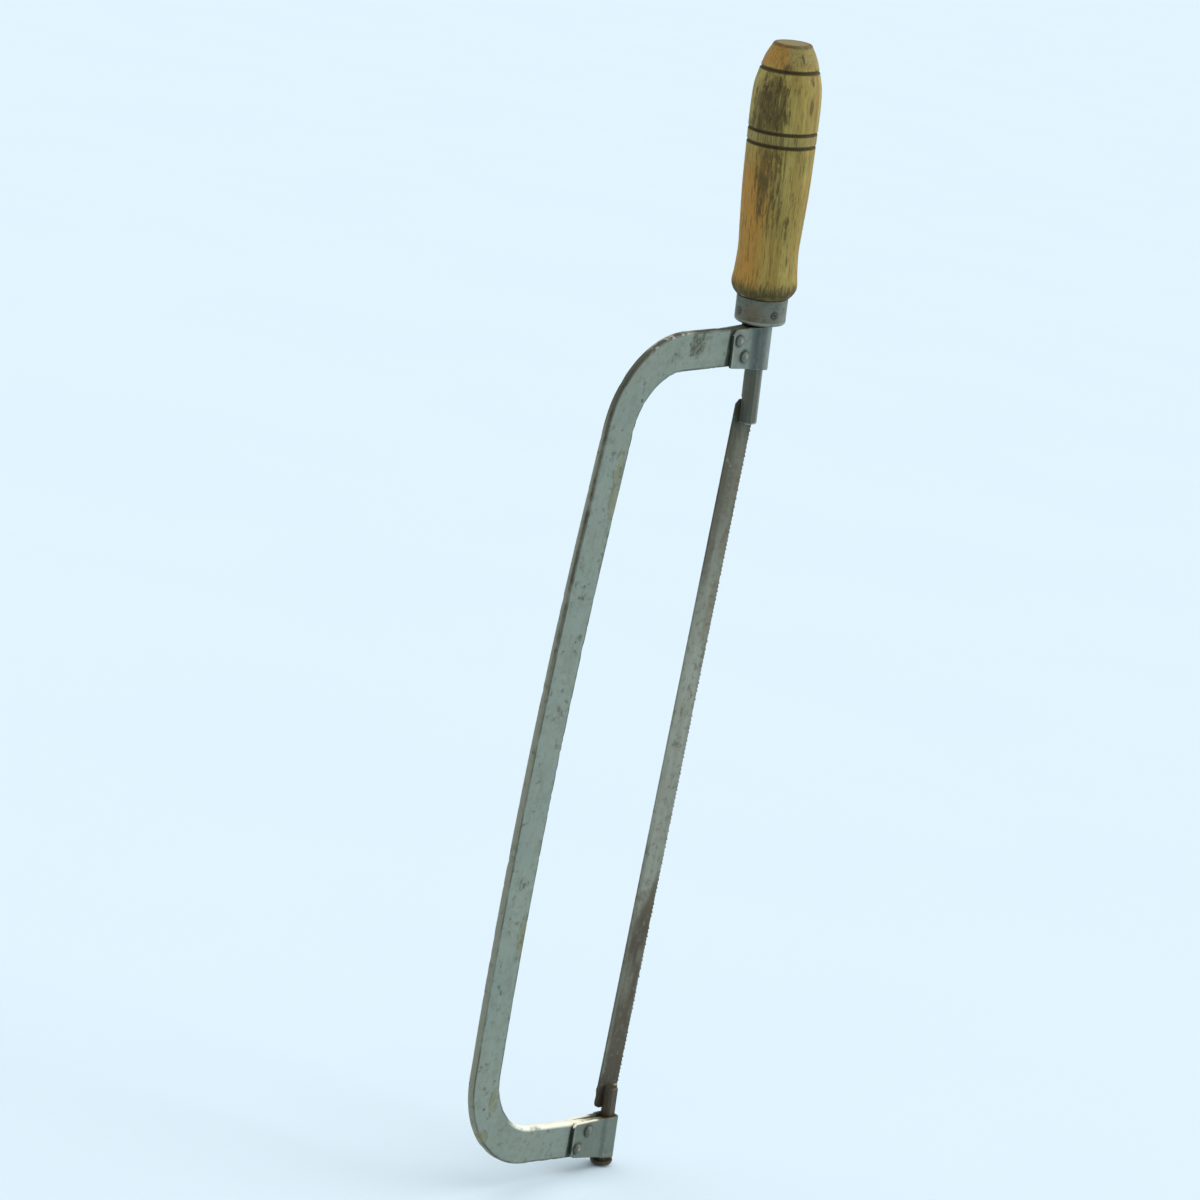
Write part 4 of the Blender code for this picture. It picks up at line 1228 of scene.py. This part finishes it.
def blade_metal():
    look = Look("browned_blade_steel", SAW_AXES, metallic=0.2, specular=0.22)
    x = look.x
    z = look.z
    drag = look.streaks((300, 300, 18), 5)
    lines = look.streaks((1300, 1300, 60), 4)
    blotch = look.streaks((150, 150, 50), 4, 0.65)
    mottle = look.noise(320, 5, 0.68)
    grit = look.noise(1500, 4, 0.72)
    cloud = look.noise(40, 3, 0.5)
    sway = (blotch - 0.5) * 36
    level = z + sway
    slanted = level - x * 1.7
    lower = slanted.span(95, 80)
    upper = level.span(190, 290)
    tone = look.mix(drag.span(0.35, 0.65), (124, 130, 119), (136, 142, 130))
    low_tone = look.mix(blotch.span(0.38, 0.6), (82, 77, 62), (64, 57, 44))
    pale_low = look.spots(((-1.5, 2.2, 52), (5.5, 3, 13), 0.8), ((3.6, 2.2, 64), (3.4, 3, 6), 0.8))
    brown_low = look.spots(((2, 2.2, 80), (5, 3, 9), 0.7), ((1, 2.2, 33), (5.5, 3, 13), 0.8))
    high_tone = look.mix(blotch.span(0.38, 0.6), (91, 93, 80), (75, 75, 60))
    tone = look.layer(
        tone,
        (cloud.span(0.42, 0.65, 0, 0.4), (118, 120, 104)),
        (upper * 0.9, high_tone),
        (x.span(0, 2.8) * z.band(205, 288, 8) * blotch.span(0.36, 0.6) * 0.6, (112, 107, 90)),
        (x.span(-0.5, -3.5) * z.band(236, 290, 14) * 0.6, (68, 63, 48)),
        (lower * 0.95, low_tone),
        (pale_low * mottle.span(0.3, 0.55) * 0.8, (106, 106, 91)),
        (brown_low * mottle.span(0.3, 0.6) * 0.8, (74, 64, 51)),
        (x.span(4.6, 5.8) * z.band(40, 66, 8) * 0.6, (116, 118, 107)),
        (z.band(86, 96, 6) * mottle.span(0.4, 0.6) * 0.4, (88, 80, 62)),
        (level.span(30, 6, 0, 0.9), (66, 61, 49)),
        (level.span(284, 298, 0, 0.9), (60, 60, 48)),
        (x.span(-3.6, -5.2) * z.band(22, 110, 16) * 0.7, (104, 106, 95)),
        (look.field("teeth").span(0.2, 0.9) * mottle.span(0.42, 0.6) * 0.6, (84, 78, 60)),
        (lines.span(0.55, 0.75, 0, 0.3), (142, 147, 136)),
        (lines.span(0.44, 0.3, 0, 0.35), (78, 77, 64)),
        (mottle.span(0.52, 0.68, 0, 0.6), (84, 76, 58)),
        (mottle.span(0.42, 0.3, 0, 0.35), (136, 141, 130)),
        (grit.span(0.56, 0.76, 0, 0.6), (58, 56, 45)),
        (look.spot((6, 2.2, 5.4), (3.2, 3, 0.7)) * mottle.span(0.3, 0.5), (168, 160, 136)),
    )
    return look.finish(tone, mottle.span(0.3, 0.7, 0.48, 0.68), mottle, 0.16)


def ferrule_metal():
    look = Look("dark_ferrule_steel", UPPER_AXES, metallic=0.3, specular=0.4)
    rim = look.field("rim")
    height = look.z
    mottle = look.noise(300, 5, 0.6)
    cloud = look.noise(80, 3, 0.5)
    grit = look.noise(1500, 4, 0.7)
    rings = look.streaks((120, 120, 1400))
    brown = look.spot((-8.6, -2.5, 44.5), (8.5, 8.5, 8), 0.9)
    tone = look.mix(cloud.span(0.38, 0.62), (92, 100, 88), (104, 110, 98))
    low_rim = height.band(40.9, 41.5, 0.3) * mottle.span(0.36, 0.56, 0.15, 0.8)
    tone = look.layer(
        tone,
        (brown * cloud.span(0.3, 0.55, 0.55, 1), (110, 96, 72)),
        (mottle.span(0.48, 0.7, 0, 0.6), (78, 74, 58)),
        (rings.span(0.5, 0.7, 0, 0.4), (66, 70, 62)),
        (look.field("punch") * 0.9, (40, 41, 32)),
        (low_rim, (140, 144, 128)),
        (rim.span(0.8, 1) * mottle.span(0.4, 0.6, 0.2, 0.6), (120, 122, 104)),
        (grit.span(0.56, 0.8, 0, 0.5), (52, 52, 42)),
    )
    return look.finish(tone, mottle.span(0.3, 0.7, 0.4, 0.6), mottle, 0.12)


def turned_wood():
    """Ochre wood with open pores, an orange side, dark hand stains and grimy grooves."""
    look = Look("ochre_turned_wood", UPPER_AXES, specular=0.12)
    z = look.z
    grain = look.streaks((420, 420, 24), 5, 0.6)
    band = look.streaks((110, 110, 10), 3, 0.5)
    fine = look.streaks((1900, 1900, 130), 3, 0.7)
    pores = look.streaks((1250, 1250, 100), 4, 0.7)
    clots = look.streaks((520, 520, 130), 4, 0.7)
    cloud = look.noise(60, 4, 0.6)
    tone = look.mix(grain.span(0.35, 0.65), (146, 127, 66), (166, 149, 84))
    orange = look.facing(168).ragged((band, 6), (grain, 4))
    orange = orange.span(7.6, 12.6) * z.band(64, 98, 18)
    tip = look.facing(172).ragged((band, 5), (grain, 4))
    tip = tip.span(5.5, 9) * z.span(143.5, 146) * 0.8
    right = look.spot((9, -9, 64), (5, 5, 14), 0.9)
    tone = look.layer(
        tone,
        (look.spot((-10, -1, 84), (13, 13, 60), 0.9) * 0.65, (148, 119, 58)),
        (z.span(145, 148) * 0.6, (134, 125, 82)),
        (look.most(orange, tip, right) * 0.85, (176, 126, 56)),
        (band.span(0.5, 0.64, 0, 0.5), (142, 112, 50)),
        (cloud.span(0.5, 0.7, 0, 0.45), (124, 116, 68)),
    )
    stains = look.facing(-171).ragged((band, 7), (clots, 5), (cloud, 5))
    stains = stains.span(10, 13) * z.band(122, 141, 5)
    streaked = look.facing(-160).ragged((band, 6), (clots, 5))
    streaked = streaked.span(11, 14) * z.band(88, 112, 12)
    spots = look.spots(
        ((-5.7, -12.3, 84), (1.8, 1.8, 3.6)), ((-2.9, -12.6, 68), (1, 1.2, 4)),
        ((-1, -13.8, 131), (1.6, 1.6, 5)), ((-0.4, -12.8, 141), (1.2, 2, 3)),
        ((-4, -9.6, 150), (0.8, 2, 3.6)), ((-9.4, -6.2, 145.5), (3.4, 4, 3.6), 0.9),
    )
    foot = z.span(60, 52.5) * clots.span(0.34, 0.56, 0.5, 1)
    dense = pores + look.most(stains, streaked * 0.75, foot) * 0.15
    speckled = clots + look.most(stains, streaked) * 0.14
    tone = look.layer(
        tone,
        (z.band(115.6, 118.2, 0.8) * 0.45, (132, 124, 84)),
        (stains * clots.span(0.3, 0.6, 0.35, 0.95) * 0.75, (94, 80, 52)),
        (streaked * clots.span(0.3, 0.55, 0, 0.35), (104, 86, 50)),
        (look.most(stains, streaked * 0.7) * speckled.span(0.62, 0.7) * 0.7, (58, 48, 32)),
        (spots * pores.span(0.3, 0.5) * 0.8, (72, 62, 38)),
        (dense.span(0.55, 0.63) * cloud.span(0.3, 0.6, 0.45, 1) * 0.75, (84, 69, 38)),
        (fine.span(0.54, 0.68, 0, 0.55), (92, 77, 42)),
        (fine.span(0.42, 0.3, 0, 0.35), (176, 158, 92)),
        (foot * 0.9, (66, 60, 38)),
        (look.field("groove").span(0.2, 0.85) * 0.88, (60, 51, 32)),
        (look.field("rim") * grain.span(0.35, 0.6, 0.4, 0.9), (70, 60, 42)),
        (look.field("end") * clots.span(0.3, 0.6, 0.9, 0.55), (136, 128, 100)),
    )
    relief = grain - dense.span(0.55, 0.63) * 0.8
    return look.finish(tone, cloud.span(0.3, 0.7, 0.55, 0.7), relief, 0.14)


# ---------------------------------------------------------------- stage

def make_floor():
    look = Look("pale_floor", Matrix(), roughness=0.95, specular=0)
    veil = look.noise(3, 2).span(0.3, 0.7)
    feed(look.shader.inputs["Base Color"], look.mix(veil, FLOOR_TONE, FLOOR_TONE_CLOUDED))
    lowest = cad_box[0].z
    bpy.ops.mesh.primitive_circle_add(
        vertices=96, radius=FLOOR_RADIUS, fill_type="NGON", location=(0, 0, lowest - FLOOR_GAP)
    )
    floor = bpy.context.object
    floor.name = "floor"
    floor.data.materials.append(look.material)


def make_light():
    world = bpy.data.worlds.new("studio")
    bpy.context.scene.world = world
    world.use_nodes = True
    tree = world.node_tree
    direction = add_node(tree, "ShaderNodeTexCoord").outputs["Generated"]
    rise = add_node(tree, "ShaderNodeSeparateXYZ", {0: direction}).outputs["Z"]
    inputs = dict(enumerate((rise, *BACKDROP_TOP)))
    share = add_node(tree, "ShaderNodeMapRange", inputs, interpolation_type="SMOOTHSTEP").outputs[0]
    blend = add_node(tree, "ShaderNodeMix", {0: share, 6: BACKDROP, 7: CEILING}, data_type="RGBA")
    feed(tree.nodes["Background"].inputs["Color"], blend.outputs[2])
    for name, direction, strength, angle in SUNS:
        lamp = bpy.data.lights.new(name, "SUN")
        lamp.energy = strength
        lamp.color = SUN_COLOUR
        lamp.angle = math.radians(angle)
        holder = show(name, lamp)
        holder.rotation_mode = "QUATERNION"
        holder.rotation_quaternion = Vector(direction).to_track_quat("Z", "Y")


def make_camera():
    azimuth = math.radians(CAMERA_AZIMUTH)
    elevation = math.radians(CAMERA_ELEVATION)
    level = math.cos(elevation)
    out = Vector((level * math.cos(azimuth), level * math.sin(azimuth), math.sin(elevation)))
    aim = SAW_ORIGIN + Vector(CAMERA_AIM) * MM
    data = bpy.data.cameras.new("camera")
    data.lens = CAMERA_LENS
    data.sensor_width = 36
    data.clip_start = 0.05
    data.clip_end = 500
    camera = show("camera", data)
    camera.rotation_mode = "QUATERNION"
    camera.location = aim + out * CAMERA_DISTANCE * MM
    level_view = (-out).to_track_quat("-Z", "Y").to_matrix()
    roll = Matrix.Rotation(math.radians(CAMERA_ROLL), 3, "Z")
    camera.rotation_quaternion = (level_view @ roll).to_quaternion()
    bpy.context.scene.camera = camera


# ---------------------------------------------------------------- everything

def make_saw():
    make_bow(bow_paint())
    make_straps(strap_paint())
    heads = rivet_paint()
    for end, places, seed in (("upper", UPPER_RIVETS, 0), ("lower", LOWER_RIVETS, 2)):
        for number, place in enumerate(places, 1):
            names = (f"{end}_rivet_dome_{number}", f"{end}_rivet_{number}")
            make_rivet(seed + number, place, *names, heads)
    upper_steel = bar_steel(
        "dark_drawbar_steel", UPPER_AXES, (86, 91, 80), (72, 75, 64), (84, 74, 56), 0.45, 0.8
    )
    lower_steel = bar_steel(
        "rusty_lower_bar_steel", LOWER_AXES, (82, 75, 60), (66, 61, 49), (74, 60, 44), 0.6, 0
    )
    make_drawbar(upper_steel)
    make_holder(lower_steel)
    make_stud("drawbar_stud", "drawbar_pin", "drawbar", UPPER_AXES, upper_steel)
    make_stud("lower_holder_stud", "lower_holder_pin", "frame", LOWER_AXES, lower_steel)
    make_blade(blade_metal())
    make_handle(turned_wood())
    make_ferrule(ferrule_metal())
    for number in range(1, FERRULE_PINS + 1):
        make_ferrule_pin(number, upper_steel)
    make_nut(upper_steel)
    make_washer(upper_steel)


bpy.context.scene.view_settings.view_transform = "Standard"
make_camera()
make_floor()
make_light()
make_saw()

bpy.context.view_layer.update()
